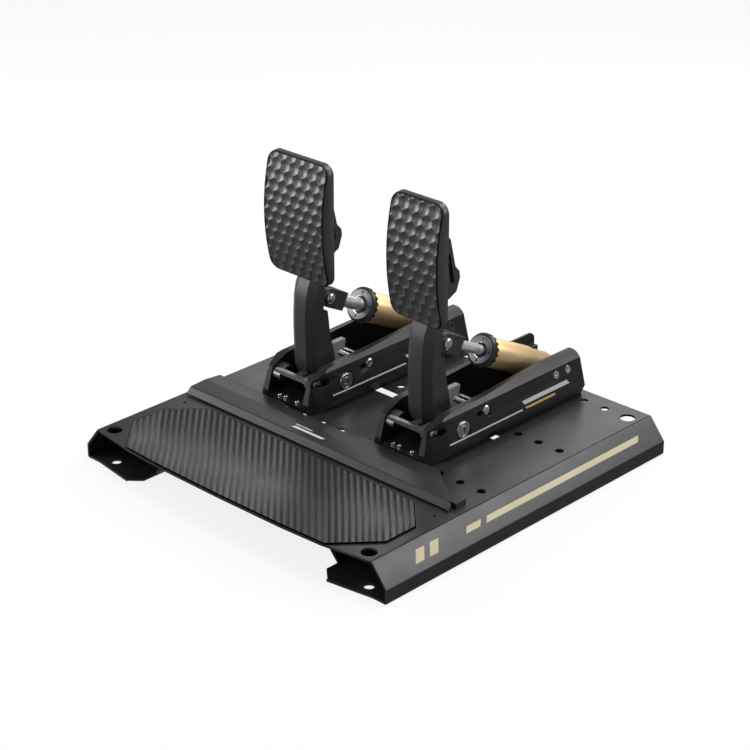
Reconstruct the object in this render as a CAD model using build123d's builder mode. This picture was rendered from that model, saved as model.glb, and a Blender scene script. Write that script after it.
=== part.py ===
from build123d import *
import os
from math import atan2, cos, hypot, sin, sqrt

os.makedirs("parts", exist_ok=True)

# Pedal set: x runs to the driver's right, y away from the driver, z up from the floor.
# "Back" in a name is a distance behind the front corners of the base plate.

# Base plate, one folded sheet on two inward flanges.
plate_depth = 440.8
plate_height = 39.8
lip_reach = 12.5
sheet = 2.5
bend = 2.6
skirt_half = 219.3
slope_run = 19.3
fold_half = skirt_half - slope_run
skirt_height = 15.9
flange_half = 134.2
return_run = 27.2
return_half = flange_half - return_run
return_height = 31.0
front = lip_reach - plate_depth / 2
plate_rear = plate_depth - lip_reach
lip_points = [(140.0, -9.0), (88.0, -11.6)]
flange_front = 6.2
flange_nose_reach = 12.8
flange_nose_half = flange_half + flange_nose_reach
flange_nose_back = 5.2
return_back = 21.6
front_relief = 60.0

# Holes in the base plate.
grid_pitch = 28.0
grid_side_edge = 16.0
grid_columns = 2 * int((fold_half - grid_side_edge) / grid_pitch + 0.5)
grid_rear_edge = 20.8
grid_backs = [175.5, 297.5, plate_rear - grid_rear_edge]
grid_radius = 4.6
foot_hole_side_edge = 14.6
foot_hole_rear_edge = 21.3
foot_hole_half = fold_half - foot_hole_side_edge
foot_hole_backs = [11.3, plate_rear - foot_hole_rear_edge]
foot_hole_radius = 5.4
access_radius = 8.3
slot_backs = (270.0, 283.0)
centre_slot_half = 58.0
outer_slot_halves = (82.0, 116.0)
plate_screw_edge = 17.8
plate_screw_half = fold_half - plate_screw_edge
plate_screw_back = 106.0
plate_screw_radius = 1.8

# Ribbed heel mat.
mat_thickness = 1.6
rib_depth = 0.9
rib_pitch = 5.75
rib_crest_share = 0.34
rib_root_share = 0.34
mat_inset = 0.8
mat_side_edge = 14.8
mat_rear_edge = 50.5
mat_outline = [(fold_half - mat_side_edge, 35.2), (fold_half - mat_side_edge, 76.8),
               (fold_half - mat_rear_edge, 112.6)]
mat_front_half = 145.0

# Heel stop, a rolled strip on four blocks.
stop_sheet = 2.4
stop_path = [(120.2, 42.0), (126.5, 47.9), (148.0, 49.0), (170.0, 47.0), (173.4, 42.4)]
stop_bend = 2.8
stop_left_edge = 5.0
stop_right_edge = 12.5
stop_slant = 54.5
stop_left = fold_half - stop_left_edge
stop_right_front = fold_half - stop_right_edge
stop_right_rear = stop_right_front - stop_slant
stop_slant_backs = (124.0, 168.0)
notch_left = 98.0
notch_right = 26.0
notch_depth = 9.5
block_inset = 9.0
block_middle = 62.0
block_x = [block_inset - stop_left, -block_middle, block_middle, stop_right_front - block_inset]
block_width = 20.0
block_backs = (130.5, 145.5)
block_gap = 0.05
stop_screw_radius = 2.5
stop_screw_head_radius = 4.2
stop_screw_head = 3.5
stop_screw_fit = 0.05
stop_screw_grip = 3.5

# Module side plates, section through one plate and its outline from the side.
contact_half = 41.2
widest_half = 46.3
widest_z = 51.3
crease_half = 37.7
crease_z = 82.0
top_half = 29.0
top_z = 92.0
inner_half = 26.5
side_outline = [(175.6, 50.0), (183.0, 75.6), (205.0, 84.7), (220.0, 85.7), (267.0, 86.4),
                (298.0, 88.0), (342.0, 90.6), (362.0, 92.0), (420.2, 92.0)]
side_front_back = 175.6
side_rear_back = 420.2
rear_corner = 8.5
nose_points = [(32.4, 183.0, 75.6), (37.7, 200.0, 82.0), (46.3, 207.0, 51.3)]

# Pivot of the pedal arm.
pivot_back = 226.4
pivot_z = 65.0
axle_radius = 6.0
axle_fit = 0.06
axle_seat = 0.02
cap_radius = 10.7
cap_recess_fit = 0.3
cap_floor_half = 38.5
cap_thickness = 4.6
cap_edge = 0.8
cap_socket_radius = 3.0
cap_socket_depth = 1.6
bush_radius = 8.0
bush_length = 14.0
bush_collar_radius = 9.5
bush_end_gap = 0.3

# Slot and screws in the side plates.
adjust_slot_backs = (250.0, 268.6)
adjust_slot_z = 72.8
adjust_slot_radius = 2.6
adjust_bolt_back = 265.6
adjust_spot_radius = 6.4
adjust_spot_half = 37.2
adjust_head_radius = 5.7
adjust_head = 3.2
adjust_dome = 1.2
adjust_shank_radius = 2.4
adjust_nut_radius = 4.6
adjust_nut = 4.0
nose_pocket_backs = (185.5, 199.5)
nose_pocket_z = 71.4
nose_pocket_radius = 4.0
nose_pocket_half = 31.5
nose_screw_backs = (188.0, 194.6)
nose_screw_radius = 2.7
nose_screw_head = 2.6
nose_shank_radius = 1.6
ring_screw_backs = (378.4, 397.9)
ring_screw_z = 75.1
ring_screw_radius = 4.4
ring_screw_cone = 2.4
ring_shank_radius = 2.2
ring_shank = 19.0
socket_across = 1.9
socket_depth = 1.5

# Module floor and its screws.
floor_thickness = 5.0
floor_backs = (176.4, 418.0)
floor_bolt_backs = (297.5, 407.5)
floor_bolt_radius = 4.0
floor_hole_radius = 4.2
floor_head_radius = 6.5
floor_head = 4.6
floor_sink = 3.0
floor_sink_radius = 7.0
floor_nut_radius = 7.2
floor_nut = 6.0
floor_bolt_tail = 2.5
small_screws = [(-13.0, 181.0), (-5.0, 182.0), (14.0, 181.0)]
small_head_radius = 2.7
small_head = 3.0
small_shank_radius = 1.5
small_tail = 2.2

# Stop bar across the front of a module, its slotted lug and rubber pad.
bar_backs = (182.5, 187.7)
bar_heights = (70.4, 75.0)
bar_left = 22.0
lug_thickness = 11.0
lug_circles = [((188.5, 66.4), 6.2), ((197.5, 69.6), 6.2)]
lug_slot_radius = 2.3
right_lug_backs = (184.0, 199.0)
right_lug_heights = (66.0, 77.0)
right_lug_thickness = 6.0
pad_x = 8.0
pad_z = 72.8
pad_radius = 4.2
pad_end = 200.0

# Rods and sensor post inside a module.
travel_rod_back = 253.0
travel_rod_z = 79.0
travel_rod_radius = 3.25
travel_rod_left = 6.0
travel_rod_seat = 6.0
tie_rod_back = 259.5
tie_rod_z = 82.3
tie_rod_radius = 1.25
tie_rod_left = 8.0
tie_rod_seat = 4.0
post_x = (-8.5, -1.5)
post_backs = (250.5, 270.0)
post_top = 88.0
post_foot_half = 9.0
post_foot_height = 6.0
post_cap = 5.0
post_cap_step = 1.2

# Pedal arm, cut from bar: height, front and rear of each section.
arm_sections = [(56.0, 211.0, 237.0), (69.0, 203.0, 238.5), (77.0, 200.4, 234.0),
                (92.0, 200.2, 227.4), (107.0, 199.9, 223.0), (122.0, 199.5, 220.0),
                (139.0, 199.9, 218.5), (156.0, 201.2, 218.5), (169.0, 203.9, 220.0),
                (176.0, 207.4, 222.0), (190.0, 215.0, 228.0)]
arm_half = 17.0
arm_front_half = 7.5
arm_bevel = 6.5
hub_radius = 13.5
rib_half = 14.0
rib_outline = [(214.0, 139.0), (227.3, 139.0), (229.0, 127.0), (230.5, 113.0), (232.4, 105.0),
               (236.0, 90.0), (238.5, 76.0), (238.5, 68.0), (214.0, 68.0)]
arm_lug_half = 6.4
arm_lug_radius = 9.0
arm_lug_outline = [(214.0, 132.0), (214.0, 172.0)]
cheek_backs = (215.0, 228.0)
cheek_heights = (182.0, 240.0)
cheek_round = 6.0

# Pedal faces and the brackets behind them.
face_back = 208.4
face_bottom = 180.4
face_top = 315.3
face_edge = 8.0
face_middle = 18.0
face_corner = 12.0
face_chamfer = 1.5
cell_wall = 0.6
cell_depth = 1.3
cell_slope = 42.0
cell_start = 0.2
cell_margin = 2.6
cell_least_share = 0.2
flange_pad_half = 16.0
flange_pad_heights = (196.0, 302.0)
flange_pad = 5.0
flange_pad_round = 6.0
web_half = 8.0
web_outline = [(213.0, 286.0), (226.0, 279.0), (241.0, 261.0), (248.7, 230.0), (255.0, 223.0),
               (256.0, 216.0), (251.0, 202.0), (240.5, 197.0), (222.0, 192.5), (213.0, 192.5)]
web_slot = [(244.5, 214.0), (238.5, 243.0)]
web_slot_radius = 2.6
web_window_back = 228.5
web_window_z = 262.0
web_window_radius = 4.5
cheek_gap = 0.15
bracket_bolts = [(221.5, 203.0), (221.5, 229.0)]
bracket_bolt_radius = 3.0
bracket_head_radius = 5.0
bracket_head = 3.4
bracket_nut = 3.2
face_screws = [(12.0, 250.0), (12.0, 292.0)]
face_screw_radius = 3.6
face_screw_head = 2.2
face_screw_shank = 1.6
face_screw_grip = 3.0

# Damper: stations are distances from the clevis bolt along its axis.
clevis_back = 231.0
clevis_z = 152.3
trunnion_back = 406.0
trunnion_z = 64.5
clevis_radius = 10.3
clevis_half = 13.6
clevis_gap = 0.35
clevis_throat = 12.6
clevis_end = 29.0
clevis_end_chamfer = 2.5
clevis_play = 0.6
clevis_bolt_radius = 4.0
clevis_bolt_fit = 0.02
clevis_head_radius = 6.0
clevis_head = 3.8
clevis_head_gap = 0.3
clevis_nut = 3.6
rod_start = 17.0
rod_fit = 0.08
piston_radius = 13.4
piston_stations = (95.0, 106.0)
ring_disc = 1.4
ring_cone = 1.6
ring_length = 8.8
ring_bore_gap = 0.4
ring_bore_chamfer = 0.5
ring_notches = 18
ring_notch_depth = 1.6
ring_notch_width = 2.6
ring_notch_length = 3.4
ring_pin_holes = 4
ring_pin_edge = 3.2
ring_pin_radius = 0.9
ring_pin_depth = 2.0
neck_wall = 1.9
neck_recess = 2.2
cylinder_gap = 0.6
cylinder_step = 156.6
cylinder_step_length = 2.0
cylinder_tail_drop = 1.5
cylinder_end = 191.3
cylinder_edge = 1.0
bore_radius = 13.48
bore_start = 93.5
bore_end = 186.0
plug_thread_radius = 13.4
cap_end = 206.0
end_cap_radius = 12.6
end_cap_dome = 3.0
trunnion_radius = 4.0
trunnion_fit = 0.06
buffer_rings = 3
buffer_radius = 12.4
buffer_bore = 6.6
buffer_waist = 1.6
buffer_seam = 2.0
buffer_free = 26.0

# Bearing blocks that carry the rear pin of the damper.
bearing_inner = 18.0
bearing_outline = [(371.0, 60.0), (386.0, 44.8), (416.0, 44.8), (416.0, 80.0), (371.0, 80.0)]

# Modules: name, centre, width of the face and pitch of its bowls.
modules = [("brake", -98.0, 88.8, 13.0), ("throttle", 70.0, 70.3, 13.5)]

# The brake has the stouter damper, and its ring is screwed further out.
brake_damper = {"rod": 7.2, "ring_front": 66.0, "disc": 16.8, "rim": 20.0, "cylinder": 17.2}
throttle_damper = {"rod": 5.6, "ring_front": 75.3, "disc": 15.1, "rim": 18.7, "cylinder": 16.2}
dampers = {"brake": brake_damper, "throttle": throttle_damper}

damper_drop = atan2(clevis_z - trunnion_z, trunnion_back - clevis_back)
damper_length = hypot(trunnion_back - clevis_back, clevis_z - trunnion_z)
floor_top = plate_height + floor_thickness
side_lean = atan2(widest_half - crease_half, crease_z - widest_z)


def from_side(x=0.0):
    """Plane seen from the driver's right: across is back, up is up."""
    return Plane(origin=(x, front, 0), x_dir=(0, 1, 0), z_dir=(1, 0, 0))


def from_above(z):
    return Plane(origin=(0, front, z))


def from_front(back):
    return Plane(origin=(0, front + back, 0), x_dir=(1, 0, 0), z_dir=(0, -1, 0))


def on_damper(station):
    return Plane(origin=(0, front + clevis_back + station * cos(damper_drop),
                         clevis_z - station * sin(damper_drop)),
                 x_dir=(1, 0, 0), z_dir=(0, cos(damper_drop), -sin(damper_drop)))


def outer_half(z):
    return widest_half - (z - widest_z) * (widest_half - crease_half) / (crease_z - widest_z)


def on_side_face(side, back, z):
    """Plane on the sloping outer face of a side plate, its normal outwards."""
    return Plane(origin=(side * outer_half(z), front + back, z), x_dir=(0, side, 0),
                 z_dir=(side * cos(side_lean), 0, sin(side_lean)))


def save(shape, name):
    shape.label = name
    export_step(shape, f"parts/{name}.step")


# One folded sheet: return, flange, skirt, slope and top, then the same again mirrored.
half_section = [(return_half, return_height), (flange_half, 0), (skirt_half, 0),
                (skirt_half, skirt_height), (fold_half, plate_height)]
section = [(-x, z) for x, z in half_section] + list(reversed(half_section))
with BuildPart() as base_plate:
    with BuildSketch(from_front(-lip_reach)) as profile:
        with BuildLine():
            outer = FilletPolyline(*section, radius=bend)
            offset(outer, amount=sheet, side=Side.RIGHT)
        make_face()
    extrude(amount=-plate_depth)
    lip = [(skirt_half, 0)] + [(fold_half, 0)] + lip_points + [(0, -lip_reach)]
    lip_line = lip + [(-x, back) for x, back in reversed(lip[:-1])]
    with BuildSketch(from_above(0)):
        with BuildLine():
            Polyline(*lip_line, (-skirt_half, -front_relief), (skirt_half, -front_relief), close=True)
        make_face()
    extrude(amount=plate_height, mode=Mode.SUBTRACT)
    # The flanges and their returns start further back than the top.
    with BuildSketch(from_above(0)):
        with BuildLine():
            Polyline((-flange_nose_half, -front_relief), (-flange_nose_half, -flange_front),
                     (-flange_half, flange_nose_back), (-flange_half, return_back),
                     (flange_half, return_back), (flange_half, flange_nose_back),
                     (flange_nose_half, -flange_front), (flange_nose_half, -front_relief), close=True)
        make_face()
    extrude(amount=plate_height - 2 * sheet, mode=Mode.SUBTRACT)
    with BuildSketch(from_above(plate_height)):
        with Locations(*[((n + 0.5 - grid_columns / 2) * grid_pitch, back)
                         for n in range(grid_columns) for back in grid_backs]):
            Circle(grid_radius)
        with Locations(*[(centre, back) for _, centre, _, _ in modules for back in floor_bolt_backs]):
            Circle(grid_radius)
        for back in foot_hole_backs:
            with Locations((-foot_hole_half, back), (foot_hole_half, back)):
                Circle(access_radius)
        slot_middle = sum(slot_backs) / 2
        slot_width = slot_backs[1] - slot_backs[0]
        with Locations((0, slot_middle)):
            Rectangle(2 * centre_slot_half, slot_width)
        outer_middle = sum(outer_slot_halves) / 2
        with Locations((-outer_middle, slot_middle), (outer_middle, slot_middle)):
            Rectangle(outer_slot_halves[1] - outer_slot_halves[0], slot_width)
        with Locations((-plate_screw_half, plate_screw_back), (plate_screw_half, plate_screw_back)):
            Circle(plate_screw_radius)
        with Locations(*[(x, sum(block_backs) / 2) for x in block_x]):
            Circle(stop_screw_radius + stop_screw_fit)
        for _, centre, _, _ in modules:
            with Locations(*[(centre + x, back) for x, back in small_screws]):
                Circle(small_shank_radius + stop_screw_fit)
    extrude(amount=-2 * sheet, mode=Mode.SUBTRACT)
    with BuildSketch(from_above(0)):
        for back in foot_hole_backs:
            with Locations((-foot_hole_half, back), (foot_hole_half, back)):
                Circle(foot_hole_radius)
    extrude(amount=2 * sheet, mode=Mode.SUBTRACT)
save(base_plate.part, "base_plate")

# Heel mat with ribs that run at 45 degrees across the plate.
mat_edge = [(mat_front_half, lip_points[0][1] + mat_inset)]
mat_edge += [(lip_points[1][0], lip_points[1][1] + mat_inset), (0, mat_inset - lip_reach)]
mat_edge += [(-lip_points[1][0], lip_points[1][1] + mat_inset),
             (-mat_front_half, lip_points[0][1] + mat_inset)]
mat_loop = mat_outline + [(-x, back) for x, back in reversed(mat_outline)] + list(reversed(mat_edge))
mat_reach = max(x for x, _ in mat_outline) + max(back for _, back in mat_outline)
rib_count = int(mat_reach * sqrt(2) / rib_pitch)
with BuildPart() as heel_mat:
    with BuildSketch(from_above(plate_height)):
        with BuildLine():
            Polyline(*mat_loop, close=True)
        make_face()
    extrude(amount=mat_thickness)
    rib_plane = Plane(origin=(0, front, plate_height + mat_thickness), x_dir=(1, 1, 0), z_dir=(1, -1, 0))
    crest = rib_pitch * rib_crest_share / 2
    root = rib_pitch * rib_root_share / 2
    with BuildSketch(rib_plane):
        for n in range(-rib_count // 2, rib_count // 2 + 1):
            with BuildLine():
                Polyline((n * rib_pitch + crest, 0), ((n + 1 / 2) * rib_pitch - root, -rib_depth),
                         ((n + 1 / 2) * rib_pitch + root, -rib_depth), ((n + 1) * rib_pitch - crest, 0),
                         close=True)
            make_face()
    extrude(amount=mat_reach, both=True, mode=Mode.SUBTRACT)
save(heel_mat.part, "heel_mat")

# Heel stop: the strip is rolled along x, then trimmed at its right end and notched behind.
with BuildPart() as heel_stop:
    with BuildSketch(from_side(-stop_left)):
        with BuildLine():
            rolled = FilletPolyline(*stop_path, radius=stop_bend)
            offset(rolled, amount=stop_sheet, side=Side.RIGHT)
        make_face()
    extrude(amount=stop_left + stop_right_front)
    stop_rear = stop_path[-1][0] + stop_sheet
    slant = (stop_right_front - stop_right_rear) / (stop_slant_backs[1] - stop_slant_backs[0])
    rear_x = stop_right_front - slant * (stop_rear - stop_slant_backs[0])
    with BuildSketch(from_above(plate_height)):
        with BuildLine():
            Polyline((stop_right_front, stop_slant_backs[0]), (rear_x, stop_rear),
                     (stop_right_front + stop_sheet, stop_rear),
                     (stop_right_front + stop_sheet, stop_slant_backs[0]), close=True)
        make_face()
        with BuildLine():
            Polyline((-notch_left, stop_rear), (notch_right, stop_rear),
                     (notch_right - notch_depth - stop_sheet, stop_rear - notch_depth - stop_sheet),
                     (notch_depth + stop_sheet - notch_left, stop_rear - notch_depth - stop_sheet),
                     close=True)
        make_face()
    extrude(amount=plate_height, mode=Mode.SUBTRACT)
save(heel_stop.part, "heel_stop")

# Blocks that carry the heel stop, their tops sloped like the underside of the strip.
under_slope = (stop_path[2][1] - stop_path[1][1]) / (stop_path[2][0] - stop_path[1][0])
under_drop = stop_sheet * sqrt(1 + under_slope ** 2) + block_gap
block_tops = [stop_path[1][1] + under_slope * (back - stop_path[1][0]) - under_drop for back in block_backs]
block_middle = sum(block_backs) / 2
with BuildPart() as stop_blocks:
    for x in block_x:
        with BuildSketch(from_side(x)):
            with BuildLine():
                Polyline((block_backs[0], plate_height), (block_backs[1], plate_height),
                         (block_backs[1], block_tops[1]), (block_backs[0], block_tops[0]), close=True)
            make_face()
        extrude(amount=block_width / 2, both=True)
    with BuildSketch(from_above(plate_height)):
        with Locations(*[(x, block_middle) for x in block_x]):
            Circle(stop_screw_radius + stop_screw_fit)
    extrude(amount=stop_screw_grip, mode=Mode.SUBTRACT)
save(stop_blocks.part, "heel_stop_blocks")

with BuildPart() as stop_screws:
    with BuildSketch(from_above(plate_height + stop_screw_grip)):
        with Locations(*[(x, block_middle) for x in block_x]):
            Circle(stop_screw_radius)
    extrude(amount=-stop_screw_grip - sheet)
    with BuildSketch(from_above(plate_height - sheet)):
        with Locations(*[(x, block_middle) for x in block_x]):
            Circle(stop_screw_head_radius)
    extrude(amount=-stop_screw_head)
    with BuildSketch(from_above(plate_height - sheet - stop_screw_head)):
        with Locations(*[(x, block_middle) for x in block_x]):
            RegularPolygon(socket_across, 6)
    extrude(amount=socket_depth, mode=Mode.SUBTRACT)
save(stop_screws.part, "heel_stop_screws")


def round_hole(spots, radius, plane, depth):
    """Cuts a round hole at each spot of a plane; use inside a part."""
    with BuildSketch(plane) as ring:
        with Locations(*spots):
            Circle(radius)
    extrude(ring.sketch, amount=depth, mode=Mode.SUBTRACT)


def round_boss(spots, radius, plane, length):
    with BuildSketch(plane) as ring:
        with Locations(*spots):
            Circle(radius)
    extrude(ring.sketch, amount=length)


def hex_boss(spots, radius, plane, length, mode=Mode.ADD):
    with BuildSketch(plane) as ring:
        with Locations(*spots):
            RegularPolygon(radius, 6)
    extrude(ring.sketch, amount=length, mode=mode)


def side_plate(side):
    """One machined side plate about the middle of its module; side is 1 on the right, -1 on the left."""
    section_points = [(inner_half, plate_height), (contact_half, plate_height), (widest_half, widest_z),
                      (crease_half, crease_z), (top_half, top_z), (inner_half, top_z)]
    outline = [(side_front_back, plate_height)] + side_outline + [(side_rear_back, plate_height)]
    nose = [Vector(side * x, front + back, z) for x, back, z in nose_points]
    normal = (nose[1] - nose[0]).cross(nose[2] - nose[0])
    if normal.X * side < 0:
        normal = -normal
    with BuildPart() as plate:
        with BuildSketch(from_front(side_front_back)):
            with BuildLine():
                Polyline(*[(side * x, z) for x, z in section_points], close=True)
            make_face()
        extrude(amount=side_front_back - side_rear_back)
        with BuildSketch(from_side()):
            with BuildLine():
                Polyline(*outline, close=True)
            make_face()
            fillet(vertices().sort_by(SortBy.DISTANCE)[-1], radius=rear_corner)
        extrude(amount=2 * widest_half, both=True, mode=Mode.INTERSECT)
        split(bisect_by=Plane(origin=nose[0], z_dir=normal), keep=Keep.BOTTOM)
        middle = from_side()
        reach = side * 2 * widest_half
        round_hole([(pivot_back, pivot_z)], axle_radius + axle_seat, middle, reach)
        round_hole([(pivot_back, pivot_z)], cap_radius + cap_recess_fit, from_side(side * cap_floor_half), reach)
        with BuildSketch(middle):
            with Locations((sum(adjust_slot_backs) / 2, adjust_slot_z)):
                SlotOverall(adjust_slot_backs[1] - adjust_slot_backs[0], 2 * adjust_slot_radius)
        extrude(amount=reach, mode=Mode.SUBTRACT)
        round_hole([(adjust_bolt_back, adjust_slot_z)], adjust_spot_radius, from_side(side * adjust_spot_half), reach)
        with BuildSketch(from_side(side * nose_pocket_half)):
            with Locations((sum(nose_pocket_backs) / 2, nose_pocket_z)):
                pocket_length = nose_pocket_backs[1] - nose_pocket_backs[0]
                SlotOverall(pocket_length + 2 * nose_pocket_radius, 2 * nose_pocket_radius)
        extrude(amount=reach, mode=Mode.SUBTRACT)
        round_hole([(back, nose_pocket_z) for back in nose_screw_backs], nose_shank_radius, middle, reach)
        for back in ring_screw_backs:
            seat = on_side_face(side, back, ring_screw_z)
            round_hole([(0, 0)], ring_shank_radius, seat, -ring_shank)
            round_hole([(0, 0)], ring_screw_radius, seat, ring_screw_cone)
            with BuildSketch(seat) as mouth:
                Circle(ring_screw_radius)
            with BuildSketch(seat.offset(-ring_screw_cone)) as throat:
                Circle(ring_shank_radius)
            loft([mouth.sketch.face(), throat.sketch.face()], mode=Mode.SUBTRACT)
        if side > 0:
            round_hole([(travel_rod_back, travel_rod_z)], travel_rod_radius, middle, inner_half + travel_rod_seat)
            round_hole([(tie_rod_back, tie_rod_z)], tie_rod_radius, middle, inner_half + tie_rod_seat)
    return plate


def side_bolts():
    """Every screw that shows on the two side plates of a module."""
    with BuildPart() as bolts:
        for side in (-1, 1):
            spot = [(adjust_bolt_back, adjust_slot_z)]
            outer = from_side(side * adjust_spot_half)
            round_boss(spot, adjust_shank_radius, outer, side * (inner_half - adjust_nut - adjust_spot_half))
            with BuildSketch(outer) as base:
                with Locations(*spot):
                    Circle(adjust_head_radius)
            extrude(base.sketch, amount=side * (adjust_head - adjust_dome))
            with BuildSketch(from_side(side * (adjust_spot_half + adjust_head - adjust_dome))) as low:
                with Locations(*spot):
                    Circle(adjust_head_radius)
            with BuildSketch(from_side(side * (adjust_spot_half + adjust_head))) as high:
                with Locations(*spot):
                    Circle(adjust_head_radius - adjust_dome)
            loft([low.sketch.face(), high.sketch.face()])
            hex_boss(spot, socket_across, from_side(side * (adjust_spot_half + adjust_head)),
                     -side * socket_depth, Mode.SUBTRACT)
            hex_boss(spot, adjust_nut_radius, from_side(side * inner_half), -side * adjust_nut)
            nose_spots = [(back, nose_pocket_z) for back in nose_screw_backs]
            pocket = from_side(side * nose_pocket_half)
            round_boss(nose_spots, nose_shank_radius, pocket,
                       side * (inner_half - right_lug_thickness + socket_depth - nose_pocket_half))
            round_boss(nose_spots, nose_screw_radius, pocket, side * nose_screw_head)
            hex_boss(nose_spots, nose_shank_radius, from_side(side * (nose_pocket_half + nose_screw_head)),
                     -side * socket_depth, Mode.SUBTRACT)
            for back in ring_screw_backs:
                seat = on_side_face(side, back, ring_screw_z)
                round_boss([(0, 0)], ring_shank_radius, seat.offset(-ring_screw_cone), ring_screw_cone - ring_shank)
                with BuildSketch(seat) as mouth:
                    Circle(ring_screw_radius)
                with BuildSketch(seat.offset(-ring_screw_cone)) as throat:
                    Circle(ring_shank_radius)
                loft([mouth.sketch.face(), throat.sketch.face()])
                hex_boss([(0, 0)], socket_across, seat, -socket_depth, Mode.SUBTRACT)
    return bolts


def module_floor():
    middle_back = sum(floor_backs) / 2
    with BuildPart() as floor:
        with BuildSketch(from_above(plate_height)):
            with Locations((0, middle_back)):
                Rectangle(2 * inner_half, floor_backs[1] - floor_backs[0])
        extrude(amount=floor_thickness)
        bolt_spots = [(0, back) for back in floor_bolt_backs]
        round_hole(bolt_spots, floor_hole_radius, from_above(floor_top), -floor_thickness)
        round_hole(bolt_spots, floor_sink_radius, from_above(floor_top), -floor_sink)
        round_hole(small_screws, small_shank_radius + stop_screw_fit, from_above(floor_top), -floor_thickness)
    return floor


def floor_screw_set():
    bolt_spots = [(0, back) for back in floor_bolt_backs]
    sunk = floor_top - floor_sink
    under = plate_height - sheet
    with BuildPart() as screws:
        round_boss(bolt_spots, floor_head_radius, from_above(sunk), floor_head)
        round_boss(bolt_spots, floor_bolt_radius, from_above(sunk), under - floor_nut - floor_bolt_tail - sunk)
        hex_boss(bolt_spots, floor_nut_radius, from_above(under), -floor_nut)
        hex_boss(bolt_spots, floor_bolt_radius, from_above(sunk + floor_head), -floor_sink, Mode.SUBTRACT)
        round_boss(small_screws, small_head_radius, from_above(floor_top), small_head)
        round_boss(small_screws, small_shank_radius, from_above(floor_top), under - small_tail - floor_top)
        hex_boss(small_screws, small_shank_radius, from_above(floor_top + small_head), -socket_depth,
                 Mode.SUBTRACT)
    return screws


def stop_bar():
    """Cross bar with a plain lug on the right wall and a slotted lug on the left wall."""
    bar_length = inner_half + bar_left
    with BuildPart() as bar:
        with BuildSketch(from_side(-bar_left)):
            with Locations((sum(bar_backs) / 2, sum(bar_heights) / 2)):
                Rectangle(bar_backs[1] - bar_backs[0], bar_heights[1] - bar_heights[0])
        extrude(amount=bar_length)
        with BuildSketch(from_side(inner_half)):
            with Locations((sum(right_lug_backs) / 2, sum(right_lug_heights) / 2)):
                Rectangle(right_lug_backs[1] - right_lug_backs[0], right_lug_heights[1] - right_lug_heights[0])
        extrude(amount=-right_lug_thickness)
        with BuildSketch(from_side(-inner_half)):
            for spot, radius in lug_circles:
                with Locations(spot):
                    Circle(radius)
            make_hull()
        extrude(amount=lug_thickness)
        with BuildSketch(from_side(-inner_half)) as slot:
            for spot, _ in lug_circles:
                with Locations(spot):
                    Circle(lug_slot_radius)
            make_hull()
        extrude(amount=lug_thickness, mode=Mode.SUBTRACT)
        nose_spots = [(back, nose_pocket_z) for back in nose_screw_backs]
        round_hole(nose_spots, nose_shank_radius, from_side(inner_half), -right_lug_thickness)
        round_hole(nose_spots, nose_shank_radius, from_side(-inner_half), right_lug_thickness)
    return bar


def damper_rod_set(sizes):
    """Rod with its piston, all round the damper's axis."""
    with BuildPart() as rod:
        round_boss([(0, 0)], sizes["rod"], on_damper(rod_start), piston_stations[1] - rod_start)
        round_boss([(0, 0)], piston_radius, on_damper(piston_stations[0]), piston_stations[1] - piston_stations[0])
    return rod


def clevis_fork(sizes):
    with BuildPart() as fork:
        axis_plane = Plane(origin=on_damper(0).origin, x_dir=(0, cos(damper_drop), -sin(damper_drop)),
                           z_dir=(1, 0, 0))
        with BuildSketch(axis_plane):
            Circle(clevis_radius)
            with Locations((clevis_end / 2, 0)):
                Rectangle(clevis_end, 2 * clevis_radius)
        extrude(amount=clevis_half, both=True)
        chamfer(faces().sort_by(Axis(origin=on_damper(0).origin, direction=on_damper(0).z_dir))[-1].edges(),
                length=clevis_end_chamfer)
        with BuildSketch(axis_plane):
            with Locations(((clevis_throat - clevis_radius * 2) / 2, 0)):
                Rectangle(clevis_throat + clevis_radius * 2, 4 * clevis_radius)
        extrude(amount=arm_lug_half + clevis_gap, both=True, mode=Mode.SUBTRACT)
        with BuildSketch(axis_plane):
            Circle(clevis_bolt_radius + clevis_play)
        extrude(amount=2 * clevis_half, both=True, mode=Mode.SUBTRACT)
        round_hole([(0, 0)], sizes["rod"], on_damper(rod_start), clevis_end)
    return fork


def clevis_bolt():
    spot = [(clevis_back, clevis_z)]
    seat = clevis_half + clevis_head_gap
    with BuildPart() as bolt:
        round_boss(spot, clevis_bolt_radius, from_side(-seat - clevis_nut), 2 * seat + clevis_nut)
        hex_boss(spot, clevis_head_radius, from_side(-seat), -clevis_nut)
        with BuildSketch(from_side(seat)) as low:
            with Locations(*spot):
                Circle(clevis_head_radius)
        extrude(low.sketch, amount=clevis_head - adjust_dome)
        with BuildSketch(from_side(seat + clevis_head - adjust_dome)) as rim:
            with Locations(*spot):
                Circle(clevis_head_radius)
        with BuildSketch(from_side(seat + clevis_head)) as crown:
            with Locations(*spot):
                Circle(clevis_head_radius - adjust_dome)
        loft([rim.sketch.face(), crown.sketch.face()])
        hex_boss(spot, socket_across, from_side(seat + clevis_head), -socket_depth, Mode.SUBTRACT)
    return bolt


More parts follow.
